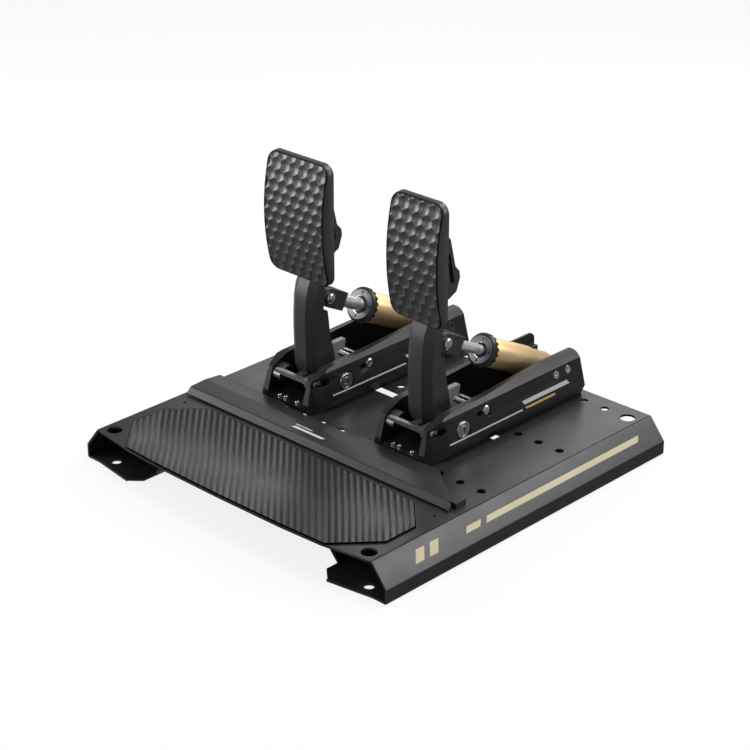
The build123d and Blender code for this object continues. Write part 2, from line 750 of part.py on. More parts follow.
def preload_ring(sizes):
    """Ring with a flat disc in front, a short cone, and notches round its rear edge."""
    start = sizes["ring_front"]
    rim_start = start + ring_disc + ring_cone
    with BuildPart() as ring:
        round_boss([(0, 0)], sizes["disc"], on_damper(start), ring_disc)
        with BuildSketch(on_damper(start + ring_disc)) as narrow:
            Circle(sizes["disc"])
        with BuildSketch(on_damper(rim_start)) as wide:
            Circle(sizes["rim"])
        loft([narrow.sketch.face(), wide.sketch.face()])
        round_boss([(0, 0)], sizes["rim"], on_damper(rim_start), ring_length - ring_disc - ring_cone)
        bore = sizes["rod"] + neck_wall + ring_bore_gap
        round_hole([(0, 0)], bore, on_damper(start), ring_length)
        axis = Axis(origin=on_damper(0).origin, direction=on_damper(0).z_dir)
        chamfer(edges().filter_by(GeomType.CIRCLE).sort_by(axis)[:2].sort_by(SortBy.RADIUS)[0],
                length=ring_bore_chamfer)
        with BuildSketch(on_damper(start + ring_length)):
            with PolarLocations(sizes["rim"], ring_notches):
                Rectangle(2 * ring_notch_depth, ring_notch_width)
        extrude(amount=-ring_notch_length, mode=Mode.SUBTRACT)
        with BuildSketch(on_damper(start)):
            with PolarLocations(sizes["disc"] - ring_pin_edge, ring_pin_holes):
                Circle(ring_pin_radius)
        extrude(amount=ring_pin_depth, mode=Mode.SUBTRACT)
    return ring


def damper_cylinder(sizes):
    """Cylinder with the threaded neck that the ring turns on."""
    neck_start = sizes["ring_front"] + neck_recess
    body_start = sizes["ring_front"] + ring_length + cylinder_gap
    tail = sizes["cylinder"] - cylinder_tail_drop
    with BuildPart() as cylinder:
        round_boss([(0, 0)], sizes["rod"] + neck_wall, on_damper(neck_start), body_start - neck_start)
        round_boss([(0, 0)], sizes["cylinder"], on_damper(body_start), cylinder_step - body_start)
        with BuildSketch(on_damper(cylinder_step)) as wide:
            Circle(sizes["cylinder"])
        with BuildSketch(on_damper(cylinder_step + cylinder_step_length)) as narrow:
            Circle(tail)
        loft([wide.sketch.face(), narrow.sketch.face()])
        round_boss([(0, 0)], tail, on_damper(cylinder_step + cylinder_step_length),
                   cylinder_end - cylinder_step - cylinder_step_length)
        axis = Axis(origin=on_damper(0).origin, direction=on_damper(0).z_dir)
        chamfer(faces().sort_by(axis)[-1].edges(), length=cylinder_edge)
        round_hole([(0, 0)], sizes["rod"] + rod_fit, on_damper(0), damper_length)
        round_hole([(0, 0)], bore_radius, on_damper(bore_start), damper_length)
    return cylinder


def cylinder_cap():
    """Plug of the cylinder with the eye that turns on the rear pin."""
    with BuildPart() as cap:
        round_boss([(0, 0)], plug_thread_radius, on_damper(bore_end), cylinder_end - bore_end)
        round_boss([(0, 0)], end_cap_radius, on_damper(cylinder_end), cap_end - cylinder_end)
        axis = Axis(origin=on_damper(0).origin, direction=on_damper(0).z_dir)
        fillet(faces().sort_by(axis)[-1].edges(), radius=end_cap_dome)
        with BuildSketch(from_side()):
            with Locations((trunnion_back, trunnion_z)):
                Circle(trunnion_radius + trunnion_fit)
        extrude(amount=2 * end_cap_radius, both=True, mode=Mode.SUBTRACT)
    return cap


def damper_buffer():
    """Soft rings behind the piston, drawn at the length they have when the pedal is right down."""
    length = (bore_end - piston_stations[1] - buffer_free) / buffer_rings
    with BuildPart() as rings:
        for n in range(buffer_rings):
            with BuildSketch(on_damper(bore_end - n * length)):
                Circle(buffer_radius)
                Circle(buffer_bore, mode=Mode.SUBTRACT)
            extrude(amount=-length + buffer_seam)
            with BuildSketch(on_damper(bore_end - (n + 1) * length + buffer_seam)):
                Circle(buffer_radius - buffer_waist)
                Circle(buffer_bore, mode=Mode.SUBTRACT)
            extrude(amount=-buffer_seam)
    return rings


def bearing_blocks():
    with BuildPart() as blocks:
        for side in (-1, 1):
            with BuildSketch(from_side(side * bearing_inner)):
                with BuildLine():
                    Polyline(*bearing_outline, close=True)
                make_face()
            extrude(amount=side * (inner_half - bearing_inner))
        round_hole([(trunnion_back, trunnion_z)], trunnion_radius, from_side(-inner_half), 2 * inner_half)
        for side in (-1, 1):
            for back in ring_screw_backs:
                round_hole([(0, 0)], ring_shank_radius, on_side_face(side, back, ring_screw_z), -ring_shank)
    return blocks


def pedal_arm():
    """Arm lofted through its sections, with hub, rear rib, clevis lug and two cheeks for the bracket."""
    with BuildPart() as arm:
        for z, near, far in arm_sections:
            with BuildSketch(from_above(z)):
                with BuildLine():
                    Polyline((-arm_front_half, near), (arm_front_half, near), (arm_half, near + arm_bevel),
                             (arm_half, far), (-arm_half, far), (-arm_half, near + arm_bevel), close=True)
                make_face()
        loft(ruled=True)
        with BuildSketch(from_side()):
            with Locations((pivot_back, pivot_z)):
                Circle(hub_radius)
        extrude(amount=arm_half, both=True)
        with BuildSketch(from_side()):
            with BuildLine():
                Polyline(*rib_outline, close=True)
            make_face()
        extrude(amount=rib_half, both=True)
        with BuildSketch(from_side()):
            with Locations((clevis_back, clevis_z)):
                Circle(arm_lug_radius)
            with BuildLine():
                Polyline(*arm_lug_outline, (clevis_back, clevis_z + arm_lug_radius),
                         (clevis_back, clevis_z - arm_lug_radius), close=True)
            make_face()
        extrude(amount=arm_lug_half, both=True)
        with BuildSketch(from_side()):
            with Locations((sum(cheek_backs) / 2, sum(cheek_heights) / 2)):
                RectangleRounded(cheek_backs[1] - cheek_backs[0], cheek_heights[1] - cheek_heights[0], cheek_round)
        extrude(amount=rib_half, both=True)
        with BuildSketch(from_side()):
            with Locations((sum(cheek_backs) / 2, cheek_heights[1])):
                Rectangle(2 * (cheek_backs[1] - cheek_backs[0]),
                          2 * (cheek_heights[1] - arm_sections[-1][0] - cheek_gap))
        extrude(amount=web_half + cheek_gap, both=True, mode=Mode.SUBTRACT)
        round_hole([(pivot_back, pivot_z)], bush_radius, from_side(-arm_half), 2 * arm_half)
        round_hole([(clevis_back, clevis_z)], clevis_bolt_radius + clevis_bolt_fit, from_side(-arm_half),
                   2 * arm_half)
        round_hole(bracket_bolts, bracket_bolt_radius, from_side(-arm_half), 2 * arm_half)
    return arm


def arm_bushes():
    with BuildPart() as bushes:
        for side in (-1, 1):
            round_boss([(pivot_back, pivot_z)], bush_radius, from_side(side * (arm_half - bush_length)),
                       side * bush_length)
            round_boss([(pivot_back, pivot_z)], bush_collar_radius, from_side(side * arm_half),
                       side * (inner_half - bush_end_gap - arm_half))
        round_hole([(pivot_back, pivot_z)], axle_radius + axle_fit, from_side(-inner_half), 2 * inner_half)
    return bushes


def pivot_axle():
    with BuildPart() as axle:
        round_boss([(pivot_back, pivot_z)], axle_radius, from_side(-cap_floor_half), 2 * cap_floor_half)
    return axle


def pivot_caps():
    with BuildPart() as caps:
        for side in (-1, 1):
            round_boss([(pivot_back, pivot_z)], cap_radius, from_side(side * cap_floor_half), side * cap_thickness)
        chamfer(caps.edges().filter_by(GeomType.CIRCLE).sort_by(Axis.X)[0], length=cap_edge)
        chamfer(caps.edges().filter_by(GeomType.CIRCLE).sort_by(Axis.X)[-1], length=cap_edge)
        for side in (-1, 1):
            hex_boss([(pivot_back, pivot_z)], cap_socket_radius, from_side(side * (cap_floor_half + cap_thickness)),
                     -side * cap_socket_depth, Mode.SUBTRACT)
    return caps


def pedal_face(width, pitch):
    """Convex face plate with rows of six-sided bowls, each row sunk square to the curve.

    The outermost bowls are cut off by a plain margin that follows the outline.
    """
    middle_z = (face_bottom + face_top) / 2
    half_height = (face_top - face_bottom) / 2
    edge_back = face_back - face_edge
    bow = face_middle - face_edge
    bow_radius = (half_height ** 2 + bow ** 2) / (2 * bow)
    row_pitch = pitch * sqrt(3) / 2
    least = pitch * cell_least_share
    rows = int((half_height - cell_margin - least) / row_pitch)
    columns = int(width / pitch)
    with BuildPart() as face:
        with BuildSketch(from_side()):
            with BuildLine():
                Line((face_back, face_top), (face_back, face_bottom))
                Line((face_back, face_bottom), (edge_back, face_bottom))
                ThreePointArc((edge_back, face_bottom), (face_back - face_middle, middle_z),
                              (edge_back, face_top))
                Line((edge_back, face_top), (face_back, face_top))
            make_face()
        extrude(amount=width / 2, both=True)
        fillet(face.edges().filter_by(Axis.Y), radius=face_corner)
        front_edges = face.faces().filter_by(GeomType.CYLINDER).sort_by(SortBy.AREA)[-1].edges()
        chamfer(front_edges, length=face_chamfer)
        for row in range(-rows, rows + 1):
            rise = row * row_pitch
            drop = bow_radius - sqrt(bow_radius ** 2 - rise ** 2)
            corner = max(abs(rise) + pitch / 2 - (half_height - face_corner), 0)
            inset = face_corner - sqrt(max(face_corner ** 2 - corner ** 2, 0))
            limit = width / 2 - cell_margin - inset
            room = min(pitch, half_height - cell_margin - abs(rise))
            outward = -1 if row > 0 else 1
            shift = pitch / 2 if row % 2 else 0
            spots = [(column * pitch + shift, 0) for column in range(-columns, columns + 1)]
            lean = atan2(rise, bow_radius - drop)
            surface = Plane(origin=(0, front + face_back - face_middle + drop, middle_z + rise),
                            x_dir=(1, 0, 0), z_dir=(0, cos(lean), -sin(lean)))
            with BuildSketch(surface.offset(-cell_start)):
                with Locations(*[(x, y) for x, y in spots if abs(x) <= limit - least]):
                    RegularPolygon((pitch - cell_wall) / 2, 6, major_radius=False, rotation=30)
                with Locations((0, outward * (room - pitch) / 2)):
                    Rectangle(2 * limit, room + pitch, mode=Mode.INTERSECT)
            extrude(amount=cell_depth + cell_start, taper=cell_slope, mode=Mode.SUBTRACT)
        round_hole(screw_spots(), face_screw_shank, from_front(face_back), face_screw_grip)
    return face


def screw_spots():
    return [(side * x, z) for x, z in face_screws for side in (-1, 1)]


def face_bracket():
    pad_middle = sum(flange_pad_heights) / 2
    pad_plane = from_front(face_back)
    with BuildPart() as bracket:
        with BuildSketch(pad_plane):
            with Locations((0, pad_middle)):
                RectangleRounded(2 * flange_pad_half, flange_pad_heights[1] - flange_pad_heights[0],
                                 flange_pad_round)
        extrude(amount=-flange_pad)
        with BuildSketch(from_side()):
            with BuildLine():
                Polyline(*web_outline, close=True)
            make_face()
        extrude(amount=web_half, both=True)
        with BuildSketch(from_side()):
            for spot in web_slot:
                with Locations(spot):
                    Circle(web_slot_radius)
            make_hull()
        extrude(amount=2 * web_half, both=True, mode=Mode.SUBTRACT)
        round_hole(bracket_bolts, bracket_bolt_radius, from_side(-web_half), 2 * web_half)
        round_hole([(web_window_back, web_window_z)], web_window_radius, from_side(-web_half), 2 * web_half)
        round_hole(screw_spots(), face_screw_shank, pad_plane, -flange_pad)
    return bracket


def face_screw_set():
    seat = from_front(face_back + flange_pad)
    with BuildPart() as screws:
        round_boss(screw_spots(), face_screw_radius, seat, -face_screw_head)
        round_boss(screw_spots(), face_screw_shank, seat, flange_pad + face_screw_grip)
        hex_boss(screw_spots(), face_screw_shank, from_front(face_back + flange_pad + face_screw_head),
                 socket_depth, Mode.SUBTRACT)
    return screws


def bracket_bolt_set():
    with BuildPart() as bolts:
        round_boss(bracket_bolts, bracket_bolt_radius, from_side(-rib_half), 2 * rib_half)
        round_boss(bracket_bolts, bracket_head_radius, from_side(rib_half), bracket_head)
        hex_boss(bracket_bolts, bracket_head_radius, from_side(-rib_half), -bracket_nut)
        hex_boss(bracket_bolts, socket_across, from_side(rib_half + bracket_head), -socket_depth, Mode.SUBTRACT)
    return bolts


def travel_rod():
    with BuildPart() as rod:
        round_boss([(travel_rod_back, travel_rod_z)], travel_rod_radius, from_side(travel_rod_left),
                   inner_half + travel_rod_seat - travel_rod_left)
    return rod


def tie_rod():
    with BuildPart() as rod:
        round_boss([(tie_rod_back, tie_rod_z)], tie_rod_radius, from_side(tie_rod_left),
                   inner_half + tie_rod_seat - tie_rod_left)
    return rod


def sensor_post():
    with BuildPart() as post:
        post_middle = sum(post_backs) / 2
        post_length = post_backs[1] - post_backs[0]
        with BuildSketch(from_above(floor_top)):
            with Locations((sum(post_x) / 2, post_middle)):
                Rectangle(post_x[1] - post_x[0], post_length - 2 * post_cap_step)
        extrude(amount=post_top - post_cap - floor_top)
        with BuildSketch(from_above(post_top - post_cap)):
            with Locations((sum(post_x) / 2, post_middle)):
                Rectangle(post_x[1] - post_x[0], post_length)
        extrude(amount=post_cap)
        with BuildSketch(from_above(floor_top)):
            with Locations((sum(post_x) / 2, post_middle)):
                Rectangle(2 * post_foot_half, post_length)
        extrude(amount=post_foot_height)
    return post


def stop_pad():
    with BuildPart() as pad:
        round_boss([(pad_x, pad_z)], pad_radius, from_front(bar_backs[1]), bar_backs[1] - pad_end)
    return pad


def rear_pin():
    with BuildPart() as pin:
        round_boss([(trunnion_back, trunnion_z)], trunnion_radius, from_side(-inner_half), 2 * inner_half)
    return pin


# The two modules differ in where they stand, in their faces and in their dampers.
shared = {"floor": module_floor().part, "floor_screws": floor_screw_set().part,
          "side_left": side_plate(-1).part, "side_right": side_plate(1).part,
          "side_bolts": side_bolts().part, "pivot_axle": pivot_axle().part,
          "pivot_caps": pivot_caps().part, "arm_bushes": arm_bushes().part, "arm": pedal_arm().part,
          "face_bracket": face_bracket().part, "face_screws": face_screw_set().part,
          "bracket_bolts": bracket_bolt_set().part, "clevis_bolt": clevis_bolt().part,
          "end_cap": cylinder_cap().part, "buffer": damper_buffer().part, "rear_pin": rear_pin().part,
          "bearing_blocks": bearing_blocks().part, "stop_bar": stop_bar().part,
          "stop_pad": stop_pad().part, "travel_rod": travel_rod().part, "tie_rod": tie_rod().part,
          "sensor_post": sensor_post().part}
for module, centre, face_width, bowl_pitch in modules:
    own = {"face": pedal_face(face_width, bowl_pitch).part, "clevis": clevis_fork(dampers[module]).part,
           "piston_rod": damper_rod_set(dampers[module]).part,
           "preload_ring": preload_ring(dampers[module]).part,
           "cylinder": damper_cylinder(dampers[module]).part}
    for piece, shape in {**shared, **own}.items():
        save(shape.moved(Location((centre, 0, 0))), f"{module}_{piece}")
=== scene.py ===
import math

import bmesh
import bpy
from mathutils import Matrix, Vector


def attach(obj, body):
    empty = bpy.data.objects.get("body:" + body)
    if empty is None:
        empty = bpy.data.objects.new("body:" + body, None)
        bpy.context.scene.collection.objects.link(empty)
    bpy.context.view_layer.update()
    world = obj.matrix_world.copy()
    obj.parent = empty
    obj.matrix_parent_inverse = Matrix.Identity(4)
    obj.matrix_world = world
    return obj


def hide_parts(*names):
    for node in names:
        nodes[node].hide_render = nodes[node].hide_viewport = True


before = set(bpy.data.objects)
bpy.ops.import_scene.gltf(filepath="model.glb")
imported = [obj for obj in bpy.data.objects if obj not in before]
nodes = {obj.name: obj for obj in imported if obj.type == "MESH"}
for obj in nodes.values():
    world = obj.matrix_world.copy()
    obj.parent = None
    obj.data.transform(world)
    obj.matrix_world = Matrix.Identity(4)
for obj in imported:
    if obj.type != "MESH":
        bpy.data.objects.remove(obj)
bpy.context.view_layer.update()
scene = bpy.context.scene
print("stage 1: frame loaded,", len(nodes), "nodes")

# Sizes below are in millimetres as in the part, and become metres in spot().
# "back" counts from the front corners of the base plate, x to the driver's right, z up.
mm = 0.001
frontLine = -207.9
modules = {"brake": {"x": -98.0, "faceWidth": 88.8, "cellPitch": 13.0, "cellShift": (0.0, -1.5)},
           "throttle": {"x": 70.0, "faceWidth": 70.3, "cellPitch": 13.5, "cellShift": (0.0, 0.0)}}

# The clevis bolt and the rear pin of a damper, as (back, z).
clevisPlace = (231.0, 152.3)
rearPinPlace = (406.0, 64.5)
damperDrop = math.atan2(clevisPlace[1] - rearPinPlace[1], rearPinPlace[0] - clevisPlace[0])
xAxis = Vector((1.0, 0.0, 0.0))
yAxis = Vector((0.0, 1.0, 0.0))
zAxis = Vector((0.0, 0.0, 1.0))


def spot(x, back, z):
    return Vector((x * mm, (frontLine + back) * mm, z * mm))


# Camera at the photograph's place.

cameraSetup = {"place": (1.4306, -1.4862, 1.0696), "target": (-0.14034, 0.15094, 0.0), "lens": 104.78,
               "sensor": 36.0, "clipEnd": 30.0}


def aimAt(thing, target):
    thing.rotation_euler = (Vector(target) - thing.location).to_track_quat("-Z", "Y").to_euler()


def newObject(name, data):
    thing = bpy.data.objects.new(name, data)
    scene.collection.objects.link(thing)
    return thing


def makeCamera(s):
    data = bpy.data.cameras.new("studioCamera")
    data.lens = s["lens"]
    data.sensor_width = s["sensor"]
    data.clip_end = s["clipEnd"]
    camera = newObject("studioCamera", data)
    camera.location = Vector(s["place"])
    aimAt(camera, s["target"])
    scene.camera = camera


makeCamera(cameraSetup)


def newMaterial(name):
    material = bpy.data.materials.new(name)
    material.use_nodes = True
    tree = material.node_tree
    return material, tree, tree.nodes["Principled BSDF"]


# Sets a node's inputs: a socket is linked, anything else is the input's value.
def give(tree, node, links):
    for key, value in links.items():
        if isinstance(value, bpy.types.NodeSocket):
            tree.links.new(value, node.inputs[key])
        else:
            node.inputs[key].default_value = value
    return node


def add(tree, kind, links=None, **settings):
    node = tree.nodes.new(kind)
    for key, value in settings.items():
        setattr(node, key, value)
    return give(tree, node, links or {})


def calc(tree, operation, a, b=0.0):
    return add(tree, "ShaderNodeMath", {0: a, 1: b}, operation=operation).outputs[0]


def objectNoise(tree, scale, detail, roughness=0.5, stretch=None, turn=None):
    place = add(tree, "ShaderNodeTexCoord").outputs["Object"]
    if stretch:
        mapping = add(tree, "ShaderNodeMapping", {"Vector": place, "Rotation": turn, "Scale": stretch},
                      vector_type="TEXTURE")
        place = mapping.outputs["Vector"]
    return add(tree, "ShaderNodeTexNoise", {
        "Vector": place, "Scale": scale, "Detail": detail, "Roughness": roughness}).outputs["Fac"]


def spread(tree, value, low, high, fromLow=0.3, fromHigh=0.7):
    return add(tree, "ShaderNodeMapRange", {
        "Value": value, "From Min": fromLow, "From Max": fromHigh, "To Min": low,
        "To Max": high}).outputs["Result"]


# Painted shading that runs with the mat's ribs as diagonal bands: 0 is painted shade in a groove, 1 is
# painted light on a crest.
def paintedRibShade(tree, pitch):
    diagonal = math.sqrt(0.5)
    turnPerMillimetre = 2 * math.pi / pitch
    place = add(tree, "ShaderNodeTexCoord").outputs["Object"]
    across = add(tree, "ShaderNodeVectorMath", {0: place, 1: (diagonal, diagonal, 0.0)},
                 operation="DOT_PRODUCT")
    phase = add(tree, "ShaderNodeMath", {
        0: across.outputs["Value"], 1: turnPerMillimetre / mm,
        2: -frontLine * diagonal * turnPerMillimetre}, operation="MULTIPLY_ADD")
    return spread(tree, calc(tree, "COSINE", phase.outputs[0]), 0.0, 1.0, -1.0, 1.0)


finishDefaults = {"metallic": 0.0, "specular": 0.5, "driftScale": 14.0, "driftDetail": 3.0,
                  "smearScale": 40.0, "smearDetail": 5.0, "smearRoughness": 0.6, "grainScale": 2000.0,
                  "grainDetail": 2.0, "grainHeight": 0.2, "stretch": None, "turn": None}


def finish(name, settings):
    s = {**finishDefaults, **settings}
    material, tree, shader = newMaterial(name)
    # A finish with a rib pitch gets painted rib shading in place of random drift.
    if "ribShadePitch" in s:
        share = paintedRibShade(tree, s["ribShadePitch"])
    else:
        share = spread(tree, objectNoise(tree, s["driftScale"], s["driftDetail"]), 0.0, 1.0)
    mix = add(tree, "ShaderNodeMix", {
        "A": (*s["colour"], 1.0), "B": (*s["secondColour"], 1.0), "Factor": share}, data_type="RGBA")
    middle, reach = s["roughness"]
    brushed = {"stretch": s["stretch"], "turn": s["turn"]}
    smear = objectNoise(tree, s["smearScale"], s["smearDetail"], s["smearRoughness"], **brushed)
    grain = objectNoise(tree, s["grainScale"], s["grainDetail"], **brushed)
    bump = add(tree, "ShaderNodeBump", {
        "Strength": s["grain"], "Distance": s["grainHeight"] * mm, "Height": grain})
    give(tree, shader, {
        "Metallic": s["metallic"], "Specular IOR Level": s["specular"], "Base Color": mix.outputs["Result"],
        "Roughness": spread(tree, smear, middle - reach, middle + reach), "Normal": bump.outputs["Normal"]})
    return material


# Turned metal is brushed round the damper's axis; the stretch makes rings across it.
turned = {"stretch": (8.0, 8.0, 1.0), "turn": (math.pi / 2 + damperDrop, 0.0, 0.0)}
finishes = {
    "powderCoat": {"colour": (0.012, 0.012, 0.014), "secondColour": (0.016, 0.016, 0.018),
                   "roughness": (0.33, 0.03), "grain": 0.25, "grainScale": 1300.0, "specular": 0.53},
    "stopCoat": {"colour": (0.012, 0.012, 0.014), "secondColour": (0.016, 0.016, 0.018),
                 "roughness": (0.38, 0.03), "grain": 0.25, "grainScale": 1300.0, "specular": 0.55},
    # The mat's first colour is painted shade in the rib grooves, its second colour painted light on the
    # crests.
    "matComposite": {"colour": (0.005, 0.005, 0.006), "secondColour": (0.034, 0.034, 0.036),
                     "roughness": (0.36, 0.04), "ribShadePitch": 6.52, "grain": 0.15, "grainScale": 900.0},
    "blackAnodised": {"colour": (0.008, 0.008, 0.010), "secondColour": (0.012, 0.012, 0.014),
                      "roughness": (0.37, 0.04), "grain": 0.15, "grainScale": 2400.0, "specular": 0.40},
    "darkAnodised": {"colour": (0.022, 0.022, 0.025), "secondColour": (0.028, 0.028, 0.031),
                     "roughness": (0.38, 0.04), "grain": 0.12, "grainScale": 2400.0, "specular": 0.6},
    "gripAnodised": {"colour": (0.030, 0.030, 0.032), "secondColour": (0.040, 0.040, 0.042),
                     "roughness": (0.36, 0.04), "grain": 0.15, "grainScale": 1800.0, "specular": 0.6},
    # Painted shade for the groove round the pedal faces.
    "paintedGrooveShade": {"colour": (0.004, 0.004, 0.004), "secondColour": (0.006, 0.006, 0.006),
                   "roughness": (0.55, 0.04), "grain": 0.15, "grainScale": 1800.0, "specular": 0.25},
    "goldAnodised": {"colour": (0.84, 0.60, 0.32), "secondColour": (0.88, 0.64, 0.36), "roughness": (0.40, 0.03),
                     "metallic": 0.75, "grain": 0.05, "grainScale": 1500.0, **turned},
    "discGrey": {"colour": (0.15, 0.15, 0.155), "secondColour": (0.175, 0.175, 0.18), "roughness": (0.50, 0.03),
                 "metallic": 1.0, "grain": 0.08},
    "rimMetal": {"colour": (0.075, 0.075, 0.08), "secondColour": (0.095, 0.095, 0.10), "roughness": (0.34, 0.03),
                 "metallic": 1.0, "grain": 0.05},
    "ringEdge": {"colour": (0.62, 0.62, 0.63), "secondColour": (0.68, 0.68, 0.69), "roughness": (0.26, 0.03),
                 "metallic": 1.0, "grain": 0.04},
    # Painted shade for the ring's recesses and the damper's neck inside it.
    "ringShade": {"colour": (0.005, 0.005, 0.005), "secondColour": (0.008, 0.008, 0.008),
                  "roughness": (0.55, 0.04), "specular": 0.2, "grain": 0.06},
    "capMetal": {"colour": (0.30, 0.30, 0.31), "secondColour": (0.36, 0.36, 0.37), "roughness": (0.30, 0.04),
                 "metallic": 1.0, "grain": 0.06},
    "lilacAnodised": {"colour": (0.50, 0.46, 0.55), "secondColour": (0.55, 0.51, 0.60),
                      "roughness": (0.34, 0.03), "metallic": 1.0, "grain": 0.06},
    "chromePlate": {"colour": (0.88, 0.88, 0.90), "secondColour": (0.92, 0.92, 0.94), "roughness": (0.26, 0.02),
                    "metallic": 0.8, "grain": 0.01, "grainScale": 1500.0},
    "brightSteel": {"colour": (0.70, 0.70, 0.71), "secondColour": (0.76, 0.76, 0.77), "roughness": (0.22, 0.04),
                    "metallic": 1.0, "grain": 0.03},
    # Painted shade for the heel mat's outer edge and the right fold.
    "seamShade": {"colour": (0.002, 0.002, 0.002), "secondColour": (0.003, 0.003, 0.003),
                  "roughness": (0.80, 0.04), "specular": 0.0, "grain": 0.02, "grainScale": 1800.0},
    "greySteel": {"colour": (0.20, 0.20, 0.205), "secondColour": (0.25, 0.25, 0.255), "roughness": (0.36, 0.04),
                  "metallic": 1.0, "grain": 0.04},
    "blackOxide": {"colour": (0.035, 0.035, 0.038), "secondColour": (0.045, 0.045, 0.048),
                   "roughness": (0.34, 0.04), "metallic": 0.5, "grain": 0.06},
    "bearingBronze": {"colour": (0.40, 0.26, 0.12), "secondColour": (0.46, 0.30, 0.15),
                      "roughness": (0.34, 0.04), "metallic": 1.0, "grain": 0.05},
    "padRubber": {"colour": (0.012, 0.012, 0.012), "secondColour": (0.016, 0.016, 0.016),
                  "roughness": (0.68, 0.06), "grain": 0.3, "grainScale": 1200.0},
    "postPlastic": {"colour": (0.26, 0.26, 0.27), "secondColour": (0.30, 0.30, 0.31), "roughness": (0.42, 0.05),
                    "grain": 0.12, "grainScale": 1600.0},
    "creamPrint": {"colour": (0.50, 0.42, 0.26), "secondColour": (0.54, 0.46, 0.30), "roughness": (0.42, 0.04),
                   "grain": 0.1, "grainScale": 1300.0},
    "goldPrint": {"colour": (0.66, 0.43, 0.13), "secondColour": (0.72, 0.48, 0.16), "roughness": (0.36, 0.04),
                  "metallic": 0.3, "grain": 0.08, "grainScale": 1300.0},
    "silverPrint": {"colour": (0.62, 0.62, 0.64), "secondColour": (0.68, 0.68, 0.70), "roughness": (0.36, 0.04),
                    "metallic": 0.3, "grain": 0.08, "grainScale": 1300.0},
}
mats = {name: finish(name, s) for name, s in finishes.items()}
print("stage 2: materials,", len(mats))


# Helpers for pieces.

# Gaps in metres under which points count as one, and the flattest corner that a copy keeps, in degrees.
near = {"weld": 0.000003, "cellWeld": 0.00002, "cut": 0.0000005, "rim": 0.00002, "flatCorner": 0.5}

def plainObject(name, bm, materials, smoothAngle=32.0):
    mesh = bpy.data.meshes.new(name)
    bm.to_mesh(mesh)
    bm.free()
    for material in materials:
        mesh.materials.append(mats[material])
    mesh.shade_smooth()
    mesh.set_sharp_from_angle(angle=math.radians(smoothAngle))
    return newObject(name, mesh)


def seat(piece, body, slotName, *replaced):
    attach(piece, body)
    if replaced:
        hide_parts(*replaced)
    return piece


def mergedCopy(node):
    bm = bmesh.new()
    bm.from_mesh(nodes[node].data)
    bmesh.ops.remove_doubles(bm, verts=bm.verts, dist=near["weld"])
    bmesh.ops.dissolve_limit(bm, angle_limit=math.radians(near["flatCorner"]), verts=bm.verts, edges=bm.edges)
    for face in bm.faces:
        face.material_index = 0
    return bm


copyDefaults = {"segments": 2, "angle": 32.0, "smooth": 32.0}


# A copy of a CAD node with its edges broken.
def edgedCopy(node, body, settings):
    s = {**copyDefaults, **settings}
    piece = plainObject(node + "_finished", mergedCopy(node), [s["material"]], s["smooth"])
    bevel = piece.modifiers.new("edges", "BEVEL")
    bevel.width = s["bevel"] * mm
    bevel.segments = s["segments"]
    bevel.limit_method = "ANGLE"
    bevel.angle_limit = math.radians(s["angle"])
    bevel.harden_normals = True
    bevel.miter_outer = "MITER_ARC"
    return seat(piece, body, s["slot"], node)


def axisFrame(origin, along, across=xAxis):
    along = along.normalized()
    side = along.cross(across).normalized()
    turn = Matrix((across, side, along)).transposed().to_4x4()
    return Matrix.Translation(origin) @ turn


def damperFrame(module):
    along = Vector((0.0, math.cos(damperDrop), -math.sin(damperDrop)))
    return axisFrame(spot(modules[module]["x"], *clevisPlace), along)


def crossFrame(module, back, z):
    return axisFrame(spot(modules[module]["x"], back, z), xAxis, yAxis)


# A profile is a list of (station, radius, material number of the strip that starts there).
def lathe(bm, place, profile, segments, closed):
    rings = []
    for station, radius, _ in profile:
        if radius <= 0.0:
            rings.append([bm.verts.new(place @ Vector((0.0, 0.0, station * mm)))])
            continue
        ring = []
        for n in range(segments):
            turn = 2 * math.pi * n / segments
            corner = Vector((radius * math.cos(turn), radius * math.sin(turn), station)) * mm
            ring.append(bm.verts.new(place @ corner))
        rings.append(ring)
    pairs = list(zip(range(len(rings) - 1), range(1, len(rings))))
    if closed:
        pairs.append((len(rings) - 1, 0))
    for a, b in pairs:
        low, high = rings[a], rings[b]
        for n in range(segments):
            m = (n + 1) % segments
            corners = [low[n % len(low)], low[m % len(low)], high[m % len(high)], high[n % len(high)]]
            unique = list(dict.fromkeys(corners))
            if len(unique) > 2:
                face = bm.faces.new(unique)
                face.material_index = profile[a][2]


# A profile in one material, from its stations and radii.
def plain(points):
    return [(station, radius, 0) for station, radius in points]


def turnedPiece(name, places, profile, materials, segments=48, closed=False, smoothAngle=32.0):
    bm = bmesh.new()
    for place in places:
        lathe(bm, place, profile, segments, closed)
    bmesh.ops.recalc_face_normals(bm, faces=bm.faces)
    return plainObject(name, bm, materials, smoothAngle)


# Geometry node trees.

socketKinds = {int: "NodeSocketInt", float: "NodeSocketFloat", tuple: "NodeSocketVector"}


# A tree with the given inputs and their default values, and a material input at the end.
def newTree(name, inputs):
    tree = bpy.data.node_groups.new(name, "GeometryNodeTree")
    sockets = tree.interface
    sockets.new_socket("Geometry", in_out="INPUT", socket_type="NodeSocketGeometry")
    for label, value in inputs.items():
        sockets.new_socket(label, in_out="INPUT", socket_type=socketKinds[type(value)]).default_value = value
    sockets.new_socket("Material", in_out="INPUT", socket_type="NodeSocketMaterial")
    sockets.new_socket("Geometry", in_out="OUTPUT", socket_type="NodeSocketGeometry")
    source = tree.nodes.new("NodeGroupInput")
    result = tree.nodes.new("NodeGroupOutput")
    return tree, source.outputs, result


